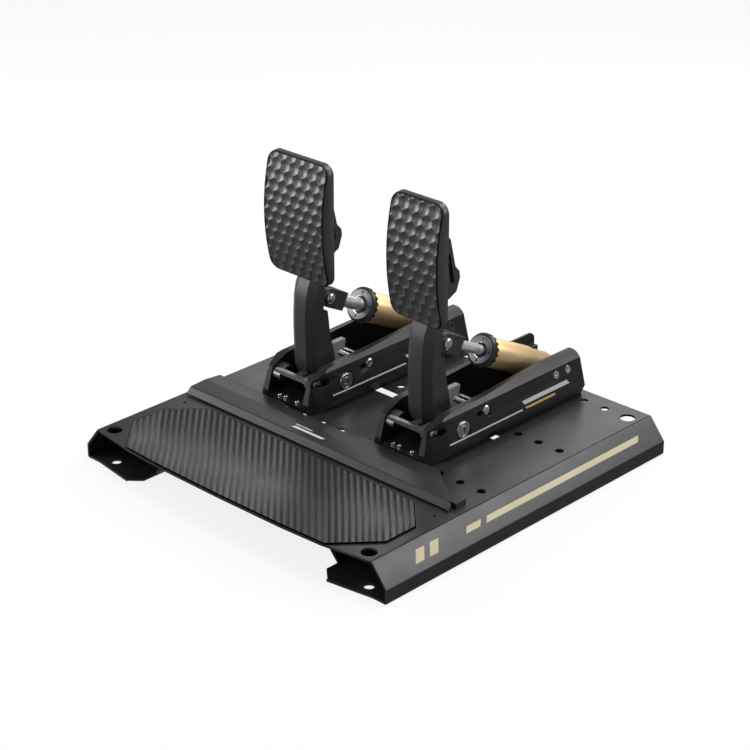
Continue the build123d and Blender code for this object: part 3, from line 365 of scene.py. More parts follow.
# The mesh that a tree makes from a seed, with one material.
def runTree(name, tree, bm, values, material):
    mesh = bpy.data.meshes.new(name + "_seed")
    bm.to_mesh(mesh)
    bm.free()
    seed = newObject(name + "_seed", mesh)
    modifier = seed.modifiers.new("nodes", "NODES")
    modifier.node_group = tree
    values["Material"] = mats[material]
    for item in tree.interface.items_tree:
        if item.item_type == "SOCKET" and item.in_out == "INPUT" and item.name in values:
            modifier[item.identifier] = values[item.name]
    depsgraph = bpy.context.evaluated_depsgraph_get()
    result = bpy.data.meshes.new_from_object(seed.evaluated_get(depsgraph))
    result.name = name
    bpy.data.objects.remove(seed)
    result.materials.clear()
    result.materials.append(mats[material])
    return result


def upward(tree, rise):
    return add(tree, "ShaderNodeCombineXYZ", {"Z": rise}).outputs[0]


def moved(tree, geometry, offset):
    return add(tree, "GeometryNodeSetPosition", {"Geometry": geometry, "Offset": offset}).outputs["Geometry"]


def copied(tree, links):
    copies = add(tree, "GeometryNodeInstanceOnPoints", links).outputs["Instances"]
    return add(tree, "GeometryNodeRealizeInstances", {"Geometry": copies}).outputs["Geometry"]


def closeTree(tree, given, result, geometry):
    skin = add(tree, "GeometryNodeSetMaterial", {"Geometry": geometry, "Material": given["Material"]})
    tree.links.new(skin.outputs["Geometry"], result.inputs[0])
    return tree


# A field of six-sided cells, each sunk to a round bowl.
def bowlTree():
    tree, given, result = newTree("bowlField", {
        "Pitch": 0.013, "Rows": 15, "Columns": 9, "Depth": 0.001, "Steps": 3})
    pitch = given["Pitch"]
    rows = given["Rows"]
    rowPitch = calc(tree, "MULTIPLY", pitch, math.sqrt(3) / 2)
    width = calc(tree, "MULTIPLY", pitch, calc(tree, "SUBTRACT", given["Columns"], 1.0))
    height = calc(tree, "MULTIPLY", rowPitch, calc(tree, "SUBTRACT", rows, 1.0))
    grid = add(tree, "GeometryNodeMeshGrid", {
        "Size X": width, "Size Y": height, "Vertices X": given["Columns"], "Vertices Y": rows})
    index = add(tree, "GeometryNodeInputIndex").outputs[0]
    odd = calc(tree, "MODULO", calc(tree, "MODULO", index, rows), 2.0)
    shift = calc(tree, "MULTIPLY", calc(tree, "SUBTRACT", odd, 0.5), calc(tree, "MULTIPLY", pitch, 0.5))
    points = moved(tree, grid.outputs["Mesh"], add(tree, "ShaderNodeCombineXYZ", {"X": shift}).outputs[0])
    corner = calc(tree, "DIVIDE", pitch, math.sqrt(3))
    cell = add(tree, "GeometryNodeMeshCircle", {"Vertices": 6, "Radius": corner}, fill_type="TRIANGLE_FAN")
    turned = add(tree, "GeometryNodeTransform", {
        "Geometry": cell.outputs["Mesh"], "Rotation": (0.0, 0.0, math.radians(30.0))})
    fine = add(tree, "GeometryNodeSubdivideMesh", {
        "Mesh": turned.outputs["Geometry"], "Level": given["Steps"]})
    place = add(tree, "GeometryNodeInputPosition").outputs[0]
    reach = add(tree, "ShaderNodeVectorMath", {0: place}, operation="LENGTH").outputs["Value"]
    share = calc(tree, "DIVIDE", reach, calc(tree, "MULTIPLY", pitch, 0.5))
    drop = calc(tree, "SUBTRACT", calc(tree, "POWER", share, 2.0), 4.0 / 3.0)
    sink = calc(tree, "MULTIPLY", drop, given["Depth"])
    bowl = moved(tree, fine.outputs["Mesh"], upward(tree, sink))
    field = copied(tree, {"Points": points, "Instance": bowl})
    joined = add(tree, "GeometryNodeMergeByDistance", {"Geometry": field, "Distance": near["cellWeld"]})
    return closeTree(tree, given, result, joined.outputs["Geometry"])


def ribTree():
    tree, given, result = newTree("ribField", {
        "Pitch": 0.0065, "Count": 80, "Steps": 12, "Length": 0.5, "Depth": 0.0009})
    pitch = given["Pitch"]
    count = given["Count"]
    stations = calc(tree, "ADD", calc(tree, "MULTIPLY", count, given["Steps"]), 1.0)
    grid = add(tree, "GeometryNodeMeshGrid", {
        "Size X": calc(tree, "MULTIPLY", pitch, count), "Size Y": given["Length"],
        "Vertices X": stations, "Vertices Y": 2})
    place = add(tree, "ShaderNodeSeparateXYZ", {0: add(tree, "GeometryNodeInputPosition").outputs[0]})
    phase = calc(tree, "MULTIPLY", calc(tree, "DIVIDE", place.outputs["X"], pitch), 2 * math.pi)
    wave = calc(tree, "MULTIPLY", calc(tree, "SUBTRACT", calc(tree, "COSINE", phase), 1.0), 0.5)
    sink = calc(tree, "MULTIPLY", wave, given["Depth"])
    return closeTree(tree, given, result, moved(tree, grid.outputs["Mesh"], upward(tree, sink)))


shankSides = 24
domeShare = 0.72


# One screw on each seed point, its axis along the point's "aim".
def screwTree():
    tree, given, result = newTree("socketScrews", {
        "Head Radius": 0.003, "Head Height": 0.003, "Edge": 0.0005, "Dome": 0.0, "Socket Radius": 0.0015,
        "Socket Depth": 0.0015, "Shank Radius": 0.0015, "Shank Length": 0.004, "Head Sides": 40, "Cone": 0.0})
    radius = given["Head Radius"]
    height = given["Head Height"]
    edge = given["Edge"]
    head = add(tree, "GeometryNodeMeshCone", {
        "Vertices": given["Head Sides"], "Side Segments": 1, "Radius Top": radius,
        "Radius Bottom": calc(tree, "SUBTRACT", radius, given["Cone"]),
        "Depth": calc(tree, "SUBTRACT", height, edge)})
    rim = add(tree, "GeometryNodeExtrudeMesh", {
        "Mesh": head.outputs["Mesh"], "Selection": head.outputs["Top"], "Offset Scale": edge,
        "Individual": False}, mode="FACES")
    shrink = calc(tree, "DIVIDE", calc(tree, "SUBTRACT", radius, edge), radius)
    crown = add(tree, "GeometryNodeScaleElements", {
        "Geometry": rim.outputs["Mesh"], "Selection": rim.outputs["Top"], "Scale": shrink})
    rise = add(tree, "GeometryNodeExtrudeMesh", {
        "Mesh": crown.outputs["Geometry"], "Selection": rim.outputs["Top"], "Offset Scale": given["Dome"],
        "Individual": False}, mode="FACES")
    peak = add(tree, "GeometryNodeScaleElements", {
        "Geometry": rise.outputs["Mesh"], "Selection": rise.outputs["Top"], "Scale": domeShare})
    socket = add(tree, "GeometryNodeMeshCylinder", {
        "Vertices": 6, "Radius": given["Socket Radius"],
        "Depth": calc(tree, "MULTIPLY", given["Socket Depth"], 2.0)})
    cutter = moved(tree, socket.outputs["Mesh"], upward(tree, calc(tree, "ADD", height, given["Dome"])))
    cut = add(tree, "GeometryNodeMeshBoolean", {"Mesh 1": peak.outputs["Geometry"], "Mesh 2": cutter},
              operation="DIFFERENCE")
    shank = add(tree, "GeometryNodeMeshCylinder", {
        "Vertices": shankSides, "Radius": given["Shank Radius"], "Depth": given["Shank Length"]})
    down = calc(tree, "MULTIPLY", given["Shank Length"], -0.5)
    screw = add(tree, "GeometryNodeJoinGeometry")
    tree.links.new(cut.outputs["Mesh"], screw.inputs[0])
    tree.links.new(moved(tree, shank.outputs["Mesh"], upward(tree, down)), screw.inputs[0])
    aim = add(tree, "GeometryNodeInputNamedAttribute", {"Name": "aim"}, data_type="FLOAT_VECTOR")
    turn = add(tree, "FunctionNodeAlignRotationToVector", {"Vector": aim.outputs[0]}, axis="Z")
    screws = copied(tree, {"Points": given["Geometry"], "Instance": screw.outputs["Geometry"],
                           "Rotation": turn.outputs["Rotation"]})
    return closeTree(tree, given, result, screws)


# Teeth round an axis: each is a block that stands on the seed's circle.
def toothTree():
    tree, given, result = newTree("toothRing", {
        "Count": 24, "Radius": 0.010, "Tooth": (0.001, 0.001, 0.004), "Lift": 0.0, "Edge": 0.8})
    circle = add(tree, "GeometryNodeMeshCircle", {"Vertices": given["Count"], "Radius": given["Radius"]})
    outward = add(tree, "GeometryNodeInputPosition").outputs[0]
    turn = add(tree, "FunctionNodeAlignRotationToVector", {"Vector": outward}, axis="X", pivot_axis="Z")
    block = add(tree, "GeometryNodeMeshCube", {"Size": given["Tooth"]})
    normal = add(tree, "ShaderNodeSeparateXYZ", {0: add(tree, "GeometryNodeInputNormal").outputs[0]})
    facing = add(tree, "FunctionNodeCompare", {0: normal.outputs["X"], 1: 0.5}, data_type="FLOAT",
                 operation="GREATER_THAN")
    worn = add(tree, "GeometryNodeScaleElements", {
        "Geometry": block.outputs["Mesh"], "Selection": facing.outputs["Result"], "Scale": given["Edge"]})
    teeth = copied(tree, {"Points": circle.outputs["Mesh"], "Instance": worn.outputs["Geometry"],
                          "Rotation": turn.outputs["Rotation"]})
    return closeTree(tree, given, result, moved(tree, teeth, upward(tree, given["Lift"])))


trees = {"bowls": bowlTree(), "ribs": ribTree(), "screws": screwTree(), "teeth": toothTree()}
print("stage 3: geometry node trees")


# Seeds for the trees, and pieces made from them.

def seedPoints(points, aims):
    bm = bmesh.new()
    layer = bm.verts.layers.float_vector.new("aim")
    for point, aim in zip(points, aims):
        bm.verts.new(point)[layer] = aim
    return bm


def emptySeed():
    bm = bmesh.new()
    bm.verts.new((0.0, 0.0, 0.0))
    return bm


def makeTeeth(name, place, s, material):
    mesh = runTree(name, trees["teeth"], emptySeed(), {
        "Count": s["count"], "Radius": s["radius"] * mm, "Tooth": [size * mm for size in s["tooth"]],
        "Lift": s["middle"] * mm, "Edge": s["edge"]}, material)
    mesh.transform(place)
    return newObject(name, mesh)


# Convex outlines: clip a field to one, then run rings down its rim.

def roundedRectangle(halfWidth, halfHeight, radius, steps):
    corners = []
    for sx, sy, start in ((1, 1, 0), (-1, 1, 90), (-1, -1, 180), (1, -1, 270)):
        for n in range(steps + 1):
            turn = math.radians(start + 90.0 * n / steps)
            corners.append((sx * (halfWidth - radius) + radius * math.cos(turn),
                            sy * (halfHeight - radius) + radius * math.sin(turn)))
    return corners


def outlineEdges(polygon):
    edges = []
    for (ax, ay), (bx, by) in zip(polygon, polygon[1:] + polygon[:1]):
        length = math.hypot(bx - ax, by - ay)
        if length > 0.0001:
            edges.append(((ax, ay), ((by - ay) / length, (ax - bx) / length)))
    return edges


def clipToOutline(bm, edges, inset):
    for (px, py), (nx, ny) in edges:
        point = Vector(((px - nx * inset) * mm, (py - ny * inset) * mm, 0.0))
        bmesh.ops.bisect_plane(bm, geom=bm.verts[:] + bm.edges[:] + bm.faces[:], dist=near["cut"],
                               plane_co=point, plane_no=Vector((nx, ny, 0.0)), clear_outer=True)


# Displacement that brings a rim point from one inset to another, along one edge or a corner's two.
def insetMove(point, edges, fromInset, toInset):
    touching = []
    for (px, py), (nx, ny) in edges:
        gap = (px * mm - point.x) * nx + (py * mm - point.y) * ny - fromInset * mm
        if abs(gap) < near["rim"]:
            touching.append((nx, ny))
    step = (fromInset - toInset) * mm
    if not touching:
        return Vector((0.0, 0.0))
    ax, ay = touching[0]
    bx, by = touching[-1]
    cross = ax * by - ay * bx
    if abs(cross) < 0.001:
        return Vector((ax * step, ay * step))
    return Vector(((by - ay) * step / cross, (ax - bx) * step / cross))


def rimLoop(bm):
    openEdges = [edge for edge in bm.edges if edge.is_boundary]
    loop = list(openEdges[0].verts)
    used = {openEdges[0]}
    links = {}
    for edge in openEdges:
        for vert in edge.verts:
            links.setdefault(vert, []).append(edge)
    while True:
        onward = [edge for edge in links[loop[-1]] if edge not in used]
        if not onward:
            break
        used.add(onward[0])
        loop.append(onward[0].other_vert(loop[-1]))
    return loop[:-1] if loop[0] == loop[-1] else loop


# Clips a field to an outline at the given inset, then runs a rim of faces down from it and closes the back.
# put(x, y, level) places a flat point; a rim row is (inset, put, level, material number of its strip).
def rimmedPiece(name, field, start, edges, inset, put, rims, materials, smoothAngle):
    bm = bmesh.new()
    bm.from_mesh(field)
    bpy.data.meshes.remove(field)
    bm.transform(start)
    clipToOutline(bm, edges, inset)
    last = rimLoop(bm)
    flat = [Vector((vert.co.x, vert.co.y)) for vert in last]
    for vert in bm.verts:
        vert.co = put(vert.co.x / mm, vert.co.y / mm, -vert.co.z / mm)
    for newInset, putRim, level, strip in rims:
        fresh = []
        for point in flat:
            x, y = (point + insetMove(point, edges, inset, newInset)) / mm
            fresh.append(bm.verts.new(putRim(x, y, level)))
        for n in range(len(flat)):
            m = (n + 1) % len(flat)
            face = bm.faces.new((last[n], last[m], fresh[m], fresh[n]))
            face.material_index = strip
        last = fresh
    bm.faces.new(last)
    bmesh.ops.recalc_face_normals(bm, faces=bm.faces)
    return plainObject(name, bm, materials, smoothAngle)


# Heel mat. Its rims are (inset, depth below the top, strip); strip 1 is painted shade along the mat's outer
# edge.

matSetup = {"outline": [(-145.0, -8.2), (-88.0, -10.8), (0.0, -11.7), (88.0, -10.8), (145.0, -8.2),
                        (185.2, 35.2), (185.2, 76.8), (149.5, 112.6), (-149.5, 112.6), (-185.2, 76.8),
                        (-185.2, 35.2)],
            "top": 41.4, "turn": 45.0, "pitch": 6.52, "depth": 0.3, "ribs": 80, "steps": 10, "length": 520.0,
            "ribInset": 1.3, "rims": [(0.9, 0.0, 0), (0.3, 0.0, 1), (0.0, 0.3, 1), (0.0, 1.6, 1)]}


def makeHeelMat(s):
    def onMat(x, back, depth):
        return spot(x, back, s["top"] - depth)

    field = runTree("ribField", trees["ribs"], emptySeed(), {
        "Pitch": s["pitch"] * mm, "Count": s["ribs"], "Steps": s["steps"], "Length": s["length"] * mm,
        "Depth": s["depth"] * mm}, "matComposite")
    turn = Matrix.Rotation(math.radians(s["turn"]), 4, "Z")
    rims = [(inset, onMat, depth, strip) for inset, depth, strip in s["rims"]]
    piece = rimmedPiece("heelMat", field, turn, outlineEdges(s["outline"]), s["ribInset"], onMat, rims,
                        ["matComposite", "seamShade"], 60.0)
    return seat(piece, "base", "mat", "heel_mat")


makeHeelMat(matSetup)
print("stage 4: heel mat")

# Pedal faces. Their rims are (inset, depth below the front skin, strip); strip 1 is painted shade in the
# groove round the bowls.

faceSetup = {"front": 190.4, "edge": 200.4, "rear": 208.4, "bottom": 180.4, "top": 315.3, "corner": 12.0,
             "cornerSteps": 12, "depth": 1.5, "steps": 3, "bowlInset": 2.0, "spareCells": 4, "rearEdge": 0.7,
             "rims": [(1.95, 0.5, 0), (1.7, 1.2, 1), (0.6, 1.75, 1), (0.35, 1.6, 1), (0.0, 1.95, 0)]}


def nextOdd(count):
    return count + 1 - count % 2


def makeFace(module, s):
    m = modules[module]
    middle = (s["bottom"] + s["top"]) / 2
    halfHeight = (s["top"] - s["bottom"]) / 2
    bow = s["edge"] - s["front"]
    radius = (halfHeight ** 2 + bow ** 2) / (2 * bow)

    def onFront(x, y, depth):
        fall = math.sqrt(radius ** 2 - y ** 2)
        out = Vector((0.0, -fall / radius, y / radius))
        return spot(m["x"] + x, s["front"] + radius - fall, middle + y) - out * depth * mm

    def onRear(x, y, back):
        return spot(m["x"] + x, back, middle + y)

    pitch = m["cellPitch"]
    rows = int(2 * halfHeight / (pitch * math.sqrt(3) / 2)) + s["spareCells"]
    columns = int(m["faceWidth"] / pitch) + s["spareCells"]
    field = runTree("bowlField", trees["bowls"], emptySeed(), {
        "Pitch": pitch * mm, "Rows": nextOdd(rows), "Columns": nextOdd(columns), "Depth": s["depth"] * mm,
        "Steps": s["steps"]}, "gripAnodised")
    shift = Matrix.Translation(Vector((*m["cellShift"], 0.0)) * mm)
    edges = outlineEdges(roundedRectangle(m["faceWidth"] / 2, halfHeight, s["corner"], s["cornerSteps"]))
    rims = [(inset, onFront, depth, strip) for inset, depth, strip in s["rims"]]
    rims += [(0.0, onRear, s["rear"] - s["rearEdge"], 0), (s["rearEdge"], onRear, s["rear"], 0)]
    piece = rimmedPiece(module + "Face", field, shift, edges, s["bowlInset"], onFront, rims,
                        ["gripAnodised", "paintedGrooveShade"], 50.0)
    return seat(piece, module + "_pedal", "grip", module + "_face")


for module in modules:
    makeFace(module, faceSetup)
print("stage 5: pedal faces")

# Sheet and machined parts that keep the frame's shape, with their edges broken.

blackPart = {"body": "base", "material": "blackAnodised", "slot": "black_aluminium"}
darkPart = {"material": "darkAnodised", "slot": "dark_aluminium"}
baseCopies = {"base_plate": {"material": "powderCoat", "slot": "base_paint", "bevel": 0.35},
              "heel_stop": {"material": "stopCoat", "slot": "stop_paint", "bevel": 0.5, "segments": 3},
              "heel_stop_blocks": {"material": "stopCoat", "slot": "stop_paint", "bevel": 0.4}}
moduleCopies = {"floor": {**blackPart, "bevel": 0.4},
                "side_left": {**blackPart, "bevel": 0.6},
                "side_right": {**blackPart, "bevel": 0.6},
                "bearing_blocks": {**blackPart, "bevel": 0.4},
                "stop_bar": {"body": "base", "material": "greySteel", "slot": "steel", "bevel": 0.5},
                "sensor_post": {"body": "base", "material": "postPlastic", "slot": "post_plastic",
                                "bevel": 0.4},
                "arm": {**darkPart, "body": "pedal", "bevel": 0.7, "segments": 3, "angle": 20.0,
                        "smooth": 24.0},
                "face_bracket": {**darkPart, "body": "pedal", "bevel": 0.6},
                "clevis": {**darkPart, "body": "rod", "bevel": 0.6},
                "end_cap": {"body": "damper", "material": "lilacAnodised", "slot": "grey_aluminium",
                            "bevel": 0.3}}

for node, s in baseCopies.items():
    edgedCopy(node, "base", s)
for module in modules:
    for piece, s in moduleCopies.items():
        body = s["body"] if s["body"] == "base" else f"{module}_{s['body']}"
        edgedCopy(f"{module}_{piece}", body, s)
print("stage 6: sheet and machined parts")

# Damper: cylinder, ring, rod and buffer.

dampers = {"brake": {"rod": 7.2, "ring": 66.0, "disc": 16.8, "rim": 20.0, "cylinder": 17.2},
           "throttle": {"rod": 5.6, "ring": 75.3, "disc": 15.1, "rim": 18.7, "cylinder": 16.2}}


def cylinderProfile(s):
    front, neck, outer = s["ring"], s["rod"], s["cylinder"]
    points = [(front + 2.2, neck + 0.1), (front + 2.2, neck + 1.5), (front + 2.6, neck + 1.9),
              (front + 9.4, neck + 1.9), (front + 9.4, outer - 1.1), (front + 9.75, outer - 0.35),
              (front + 10.5, outer), (155.6, outer), (156.9, outer - 0.15), (158.0, outer - 0.9),
              (158.9, outer - 1.4), (160.2, outer - 1.5), (189.9, outer - 1.5), (190.9, outer - 1.8),
              (191.3, outer - 2.4), (191.3, 13.48), (93.5, 13.48), (93.5, neck + 0.1)]
    # Strip 1 is painted shade on the neck, its front face and the bore, which sit in and behind the ring;
    # strip 0 is the gold body.
    return [(station, radius, 1 if radius < neck + 2.0 else 0) for station, radius in points]


def rodProfile(s):
    r = s["rod"]
    return [(17.0, 0.0, 0), (17.0, r - 0.3, 0), (29.2, r - 0.3, 0), (29.6, r, 0), (95.0, r, 0),
            (95.0, 13.0, 1), (95.6, 13.4, 1), (105.4, 13.4, 1), (106.0, 13.0, 1), (106.0, 0.0, 1)]


# Strips: 0 flat disc, 1 rim, 2 bright chamfer round the bore, 3 painted shade on the band behind the disc,
# between the teeth, on the back and in the bore.
def ringProfile(s):
    front, bore, disc, rim = s["ring"], s["rod"] + 2.3, s["disc"], s["rim"]
    return [(front + 0.9, bore, 2), (front, bore + 0.9, 0), (front, disc - 0.5, 0),
            (front + 0.15, disc - 0.15, 0), (front + 0.5, disc, 3), (front + 1.4, disc, 1),
            (front + 3.0, rim - 0.3, 1), (front + 3.3, rim, 1), (front + 5.3, rim, 1),
            (front + 5.4, rim - 1.6, 3), (front + 8.6, rim - 1.6, 3), (front + 8.8, rim - 1.9, 3),
            (front + 8.8, bore, 3)]


ringSetup = {"teeth": 18, "gap": 2.6, "toothDepth": 2.0, "toothLength": 3.3, "toothMiddle": 7.1, "edge": 0.78,
             "pinHoles": 4, "pinRadius": 0.9, "pinInset": 3.2, "pinStart": -1.0, "pinDepth": 2.0}
bufferSetup = {"start": 132.0, "end": 186.0, "bore": 6.6, "foldStarts": (132.0, 150.0, 168.0),
               "fold": [(0.0, 10.8), (1.0, 12.0), (8.4, 12.4), (15.8, 12.0), (16.8, 10.8)]}


def bufferProfile(s):
    folds = [(start + along, radius) for start in s["foldStarts"] for along, radius in s["fold"]]
    valley = s["fold"][-1][1]
    return plain(folds + [(s["end"], valley), (s["end"], s["bore"]), (s["start"], s["bore"])])


def cutAway(piece, cutter):
    bpy.context.view_layer.update()
    modifier = piece.modifiers.new("cut", "BOOLEAN")
    modifier.operation = "DIFFERENCE"
    modifier.solver = "EXACT"
    modifier.object = cutter
    done = bpy.data.meshes.new_from_object(piece.evaluated_get(bpy.context.evaluated_depsgraph_get()))
    piece.modifiers.remove(modifier)
    old = piece.data
    done.name = old.name
    piece.data = done
    bpy.data.meshes.remove(old)
    bpy.data.objects.remove(cutter)


def makeRing(module, place, s):
    d = dampers[module]
    ring = turnedPiece(module + "RingBody", [place], ringProfile(d),
                       ["discGrey", "rimMetal", "ringEdge", "ringShade"], 96, True, 26.0)
    reach = d["disc"] - s["pinInset"]
    pins = []
    for n in range(s["pinHoles"]):
        turn = 2 * math.pi * n / s["pinHoles"]
        pins.append(place @ Matrix.Translation(
            Vector((reach * math.cos(turn), reach * math.sin(turn), d["ring"])) * mm))
    radius, start, end = s["pinRadius"], s["pinStart"], s["pinDepth"]
    pinProfile = plain([(start, 0.0), (start, radius), (end, radius), (end, 0.0)])
    cutAway(ring, turnedPiece("pinCutter", pins, pinProfile, ["ringShade"], 16))
    seat(ring, module + "_ring", "grey_aluminium", module + "_preload_ring")
    width = 2 * math.pi * d["rim"] / s["teeth"] - s["gap"]
    teeth = {"count": s["teeth"], "radius": d["rim"] - s["toothDepth"] / 2, "edge": s["edge"],
             "tooth": (s["toothDepth"], width, s["toothLength"]), "middle": d["ring"] + s["toothMiddle"]}
    seat(makeTeeth(module + "RingTeeth", place, teeth, "rimMetal"), module + "_ring", "grey_aluminium")


def makeDamper(module):
    place = damperFrame(module)
    d = dampers[module]
    cylinder = turnedPiece(module + "Cylinder", [place], cylinderProfile(d), ["goldAnodised", "ringShade"],
                           96, True, 40.0)
    seat(cylinder, module + "_damper", "gold", module + "_cylinder")
    rod = turnedPiece(module + "Rod", [place], rodProfile(d), ["chromePlate", "brightSteel"], 64, False, 30.0)
    seat(rod, module + "_rod", "chrome", module + "_piston_rod")
    makeRing(module, place, ringSetup)
    buffer = turnedPiece(module + "Buffer", [place], bufferProfile(bufferSetup), ["padRubber"], 48, True,
                         60.0)
    seat(buffer, module + "_damper", "pad_rubber", module + "_buffer")


for module in modules:
    makeDamper(module)
print("stage 7: dampers")

# Pivots, pins and rods across a module. Stations count from its middle plane.

pivotPlace = (226.4, 65.0)
capProfile = plain([(37.5, 0.0), (38.5, 9.6), (42.2, 9.6), (42.7, 9.3), (43.1, 8.8), (43.1, 6.6),
                    (42.75, 6.2), (42.75, 5.6), (43.0, 5.2), (43.0, 3.2), (41.5, 3.0), (41.5, 0.0)])
capTeeth = {"count": 30, "radius": 9.75, "tooth": (1.6, 1.15, 3.6), "middle": 40.5, "edge": 0.55}
bushProfile = plain([(3.0, 6.06), (3.0, 8.0), (17.0, 8.0), (17.0, 9.2), (17.3, 9.5), (25.9, 9.5), (26.2, 9.2),
                     (26.2, 6.06)])
crossPieces = {
    "Axle": {"at": pivotPlace, "segments": 48, "slot": "steel", "node": "_pivot_axle",
             "points": [(-37.5, 0.0), (-37.5, 6.0), (37.5, 6.0), (37.5, 0.0)]},
    "RearPin": {"at": rearPinPlace, "segments": 40, "slot": "steel", "node": "_rear_pin",
                "points": [(-26.5, 0.0), (-26.5, 3.6), (-26.1, 4.0), (26.1, 4.0), (26.5, 3.6), (26.5, 0.0)]},
    "TravelRod": {"at": (253.0, 79.0), "segments": 40, "slot": "chrome", "node": "_travel_rod",
                  "points": [(6.0, 0.0), (6.0, 2.7), (6.5, 3.2), (32.5, 3.25), (32.5, 0.0)]},
    "TieRod": {"at": (259.5, 82.3), "segments": 24, "slot": "chrome", "node": "_tie_rod",
               "points": [(8.0, 0.0), (8.0, 1.0), (8.3, 1.25), (30.5, 1.25), (30.5, 0.0)]}}
padSetup = {"x": 8.0, "back": 187.7, "z": 72.8, "segments": 40,
            "points": [(0.0, 0.0), (0.0, 4.2), (9.0, 4.2), (10.8, 3.9), (11.8, 3.1), (12.3, 1.8),
                       (12.3, 0.0)]}


def crossPiece(module, name):
    s = crossPieces[name]
    piece = turnedPiece(module + name, [crossFrame(module, *s["at"])], plain(s["points"]),
                        ["brightSteel"], s["segments"])
    seat(piece, "base", s["slot"], module + s["node"])


def makePivot(module):
    place = crossFrame(module, *pivotPlace)
    flip = place @ Matrix.Rotation(math.pi, 4, "X")
    caps = turnedPiece(module + "PivotCaps", [place, flip], capProfile, ["capMetal"])
    seat(caps, "base", "grey_aluminium", module + "_pivot_caps")
    for name, side in (("Right", place), ("Left", flip)):
        seat(makeTeeth(module + "Knurl" + name, side, capTeeth, "capMetal"), "base", "grey_aluminium")
    crossPiece(module, "Axle")
    bushes = turnedPiece(module + "Bushes", [place, flip], bushProfile, ["bearingBronze"], 48, True)
    seat(bushes, module + "_pedal", "bronze", module + "_arm_bushes")
    for name in ("RearPin", "TravelRod", "TieRod"):
        crossPiece(module, name)
    p = padSetup
    padFrame = axisFrame(spot(modules[module]["x"] + p["x"], p["back"], p["z"]), yAxis)
    pad = turnedPiece(module + "StopPad", [padFrame], plain(p["points"]), ["padRubber"], p["segments"])
    seat(pad, "base", "pad_rubber", module + "_stop_pad")


for module in modules:
    makePivot(module)
print("stage 8: pivots and rods")

# Screws.

# The side plates lean: (half width, z) at the low and the high end of the lean.
sideLow = (46.3, 51.3)
sideHigh = (37.7, 82.0)
sideLean = math.atan2(sideLow[0] - sideHigh[0], sideHigh[1] - sideLow[1])


def sideFace(module, side, back, z, lift=0.0):
    half = sideLow[0] - (z - sideLow[1]) * math.tan(sideLean)
    out = Vector((side * math.cos(sideLean), 0.0, math.sin(sideLean)))
    return spot(modules[module]["x"] + side * half, back, z) + out * lift * mm, out


screwDefaults = {"material": "brightSteel", "dome": 0.0, "cone": 0.0, "sides": 40}
ringScrew = {"head": (4.4, 2.4), "edge": 0.15, "socket": (1.9, 1.5), "shank": (2.2, 15.0), "cone": 2.1}
screwKinds = {
    "adjust": {"head": (5.7, 2.4), "edge": 0.7, "dome": 0.8, "socket": (1.9, 1.5), "shank": (2.4, 14.0)},
    "nut": {"head": (4.6, 4.0), "edge": 0.3, "socket": (1.2, 0.2), "shank": (1.0, 0.5), "sides": 6},
    "nose": {"head": (2.7, 2.6), "edge": 0.5, "socket": (1.6, 1.5), "shank": (1.6, 9.0)},
    "ring": ringScrew,
    "darkRing": {"material": "blackOxide", **ringScrew},
    "floor": {"head": (6.5, 4.6), "edge": 0.6, "socket": (4.0, 3.0), "shank": (4.0, 13.0)},
    "floorNut": {"head": (7.2, 6.0), "edge": 0.4, "socket": (2.0, 0.2), "shank": (2.0, 0.5), "sides": 6},
    "small": {"head": (2.7, 3.0), "edge": 0.4, "socket": (1.5, 1.5), "shank": (1.5, 9.7)},
    "heel": {"head": (4.2, 3.5), "edge": 0.5, "socket": (1.9, 1.5), "shank": (2.5, 6.0)},
    "face": {"material": "blackOxide", "head": (3.6, 2.2), "edge": 0.5, "socket": (1.6, 1.4),
             "shank": (1.6, 8.0)},
    "bracket": {"material": "blackOxide", "head": (5.0, 3.4), "edge": 0.6, "socket": (1.9, 1.5),
                "shank": (3.0, 28.0)},
    "bracketNut": {"material": "blackOxide", "head": (5.0, 3.2), "edge": 0.3, "socket": (1.5, 0.2),
                   "shank": (1.5, 0.5), "sides": 6},
    "clevis": {"head": (6.0, 3.0), "edge": 0.8, "dome": 0.8, "socket": (1.9, 1.5), "shank": (4.0, 27.8)},
    "clevisNut": {"head": (6.0, 3.6), "edge": 0.3, "socket": (2.0, 0.2), "shank": (2.0, 0.5), "sides": 6},
}


# Where the screws sit, as x from the module's middle ("reach"), back and z ("height").
screwPlaces = {"ringBacks": (378.4, 397.9), "ringHeight": 75.1, "ringSink": -2.4,
               "adjust": (265.6, 72.8), "adjustReach": 37.2, "nutReach": 26.5,
               "noseBacks": (188.0, 194.6), "noseHeight": 71.4, "noseReach": 31.5,
               "floorBacks": (297.5, 407.5), "floorHeight": 41.8, "plateUnder": 37.3,
               "small": ((-13.0, 181.0), (-5.0, 182.0), (14.0, 181.0)), "smallHeight": 44.8,
               "faceReaches": (-12.0, 12.0), "faceBack": 213.4, "faceHeights": (250.0, 292.0),
               "bracketReach": 14.0, "bracketBack": 221.5, "bracketHeights": (203.0, 229.0),
               "clevisReach": 13.9, "heelColumns": (-186.0, -62.0, 62.0, 178.5), "heelBack": 138.0}


def screwMesh(name, points, aims, s):
    sizes = {"Head Radius": s["head"][0], "Head Height": s["head"][1], "Edge": s["edge"], "Dome": s["dome"],
             "Socket Radius": s["socket"][0], "Socket Depth": s["socket"][1], "Cone": s["cone"],
             "Shank Radius": s["shank"][0], "Shank Length": s["shank"][1]}
    values = {key: size * mm for key, size in sizes.items()}
    values["Head Sides"] = s["sides"]
    return runTree(name, trees["screws"], seedPoints(points, aims), values, s["material"])


def makeScrews(name, body, slotName, replaced, groups):
    bm = bmesh.new()
    for kind, points, aims in groups:
        s = {**screwDefaults, **screwKinds[kind]}
        mesh = screwMesh(name + kind, points, aims, s)
        bm.from_mesh(mesh)
        bpy.data.meshes.remove(mesh)
    return seat(plainObject(name, bm, [s["material"]], 30.0), body, slotName, *replaced)


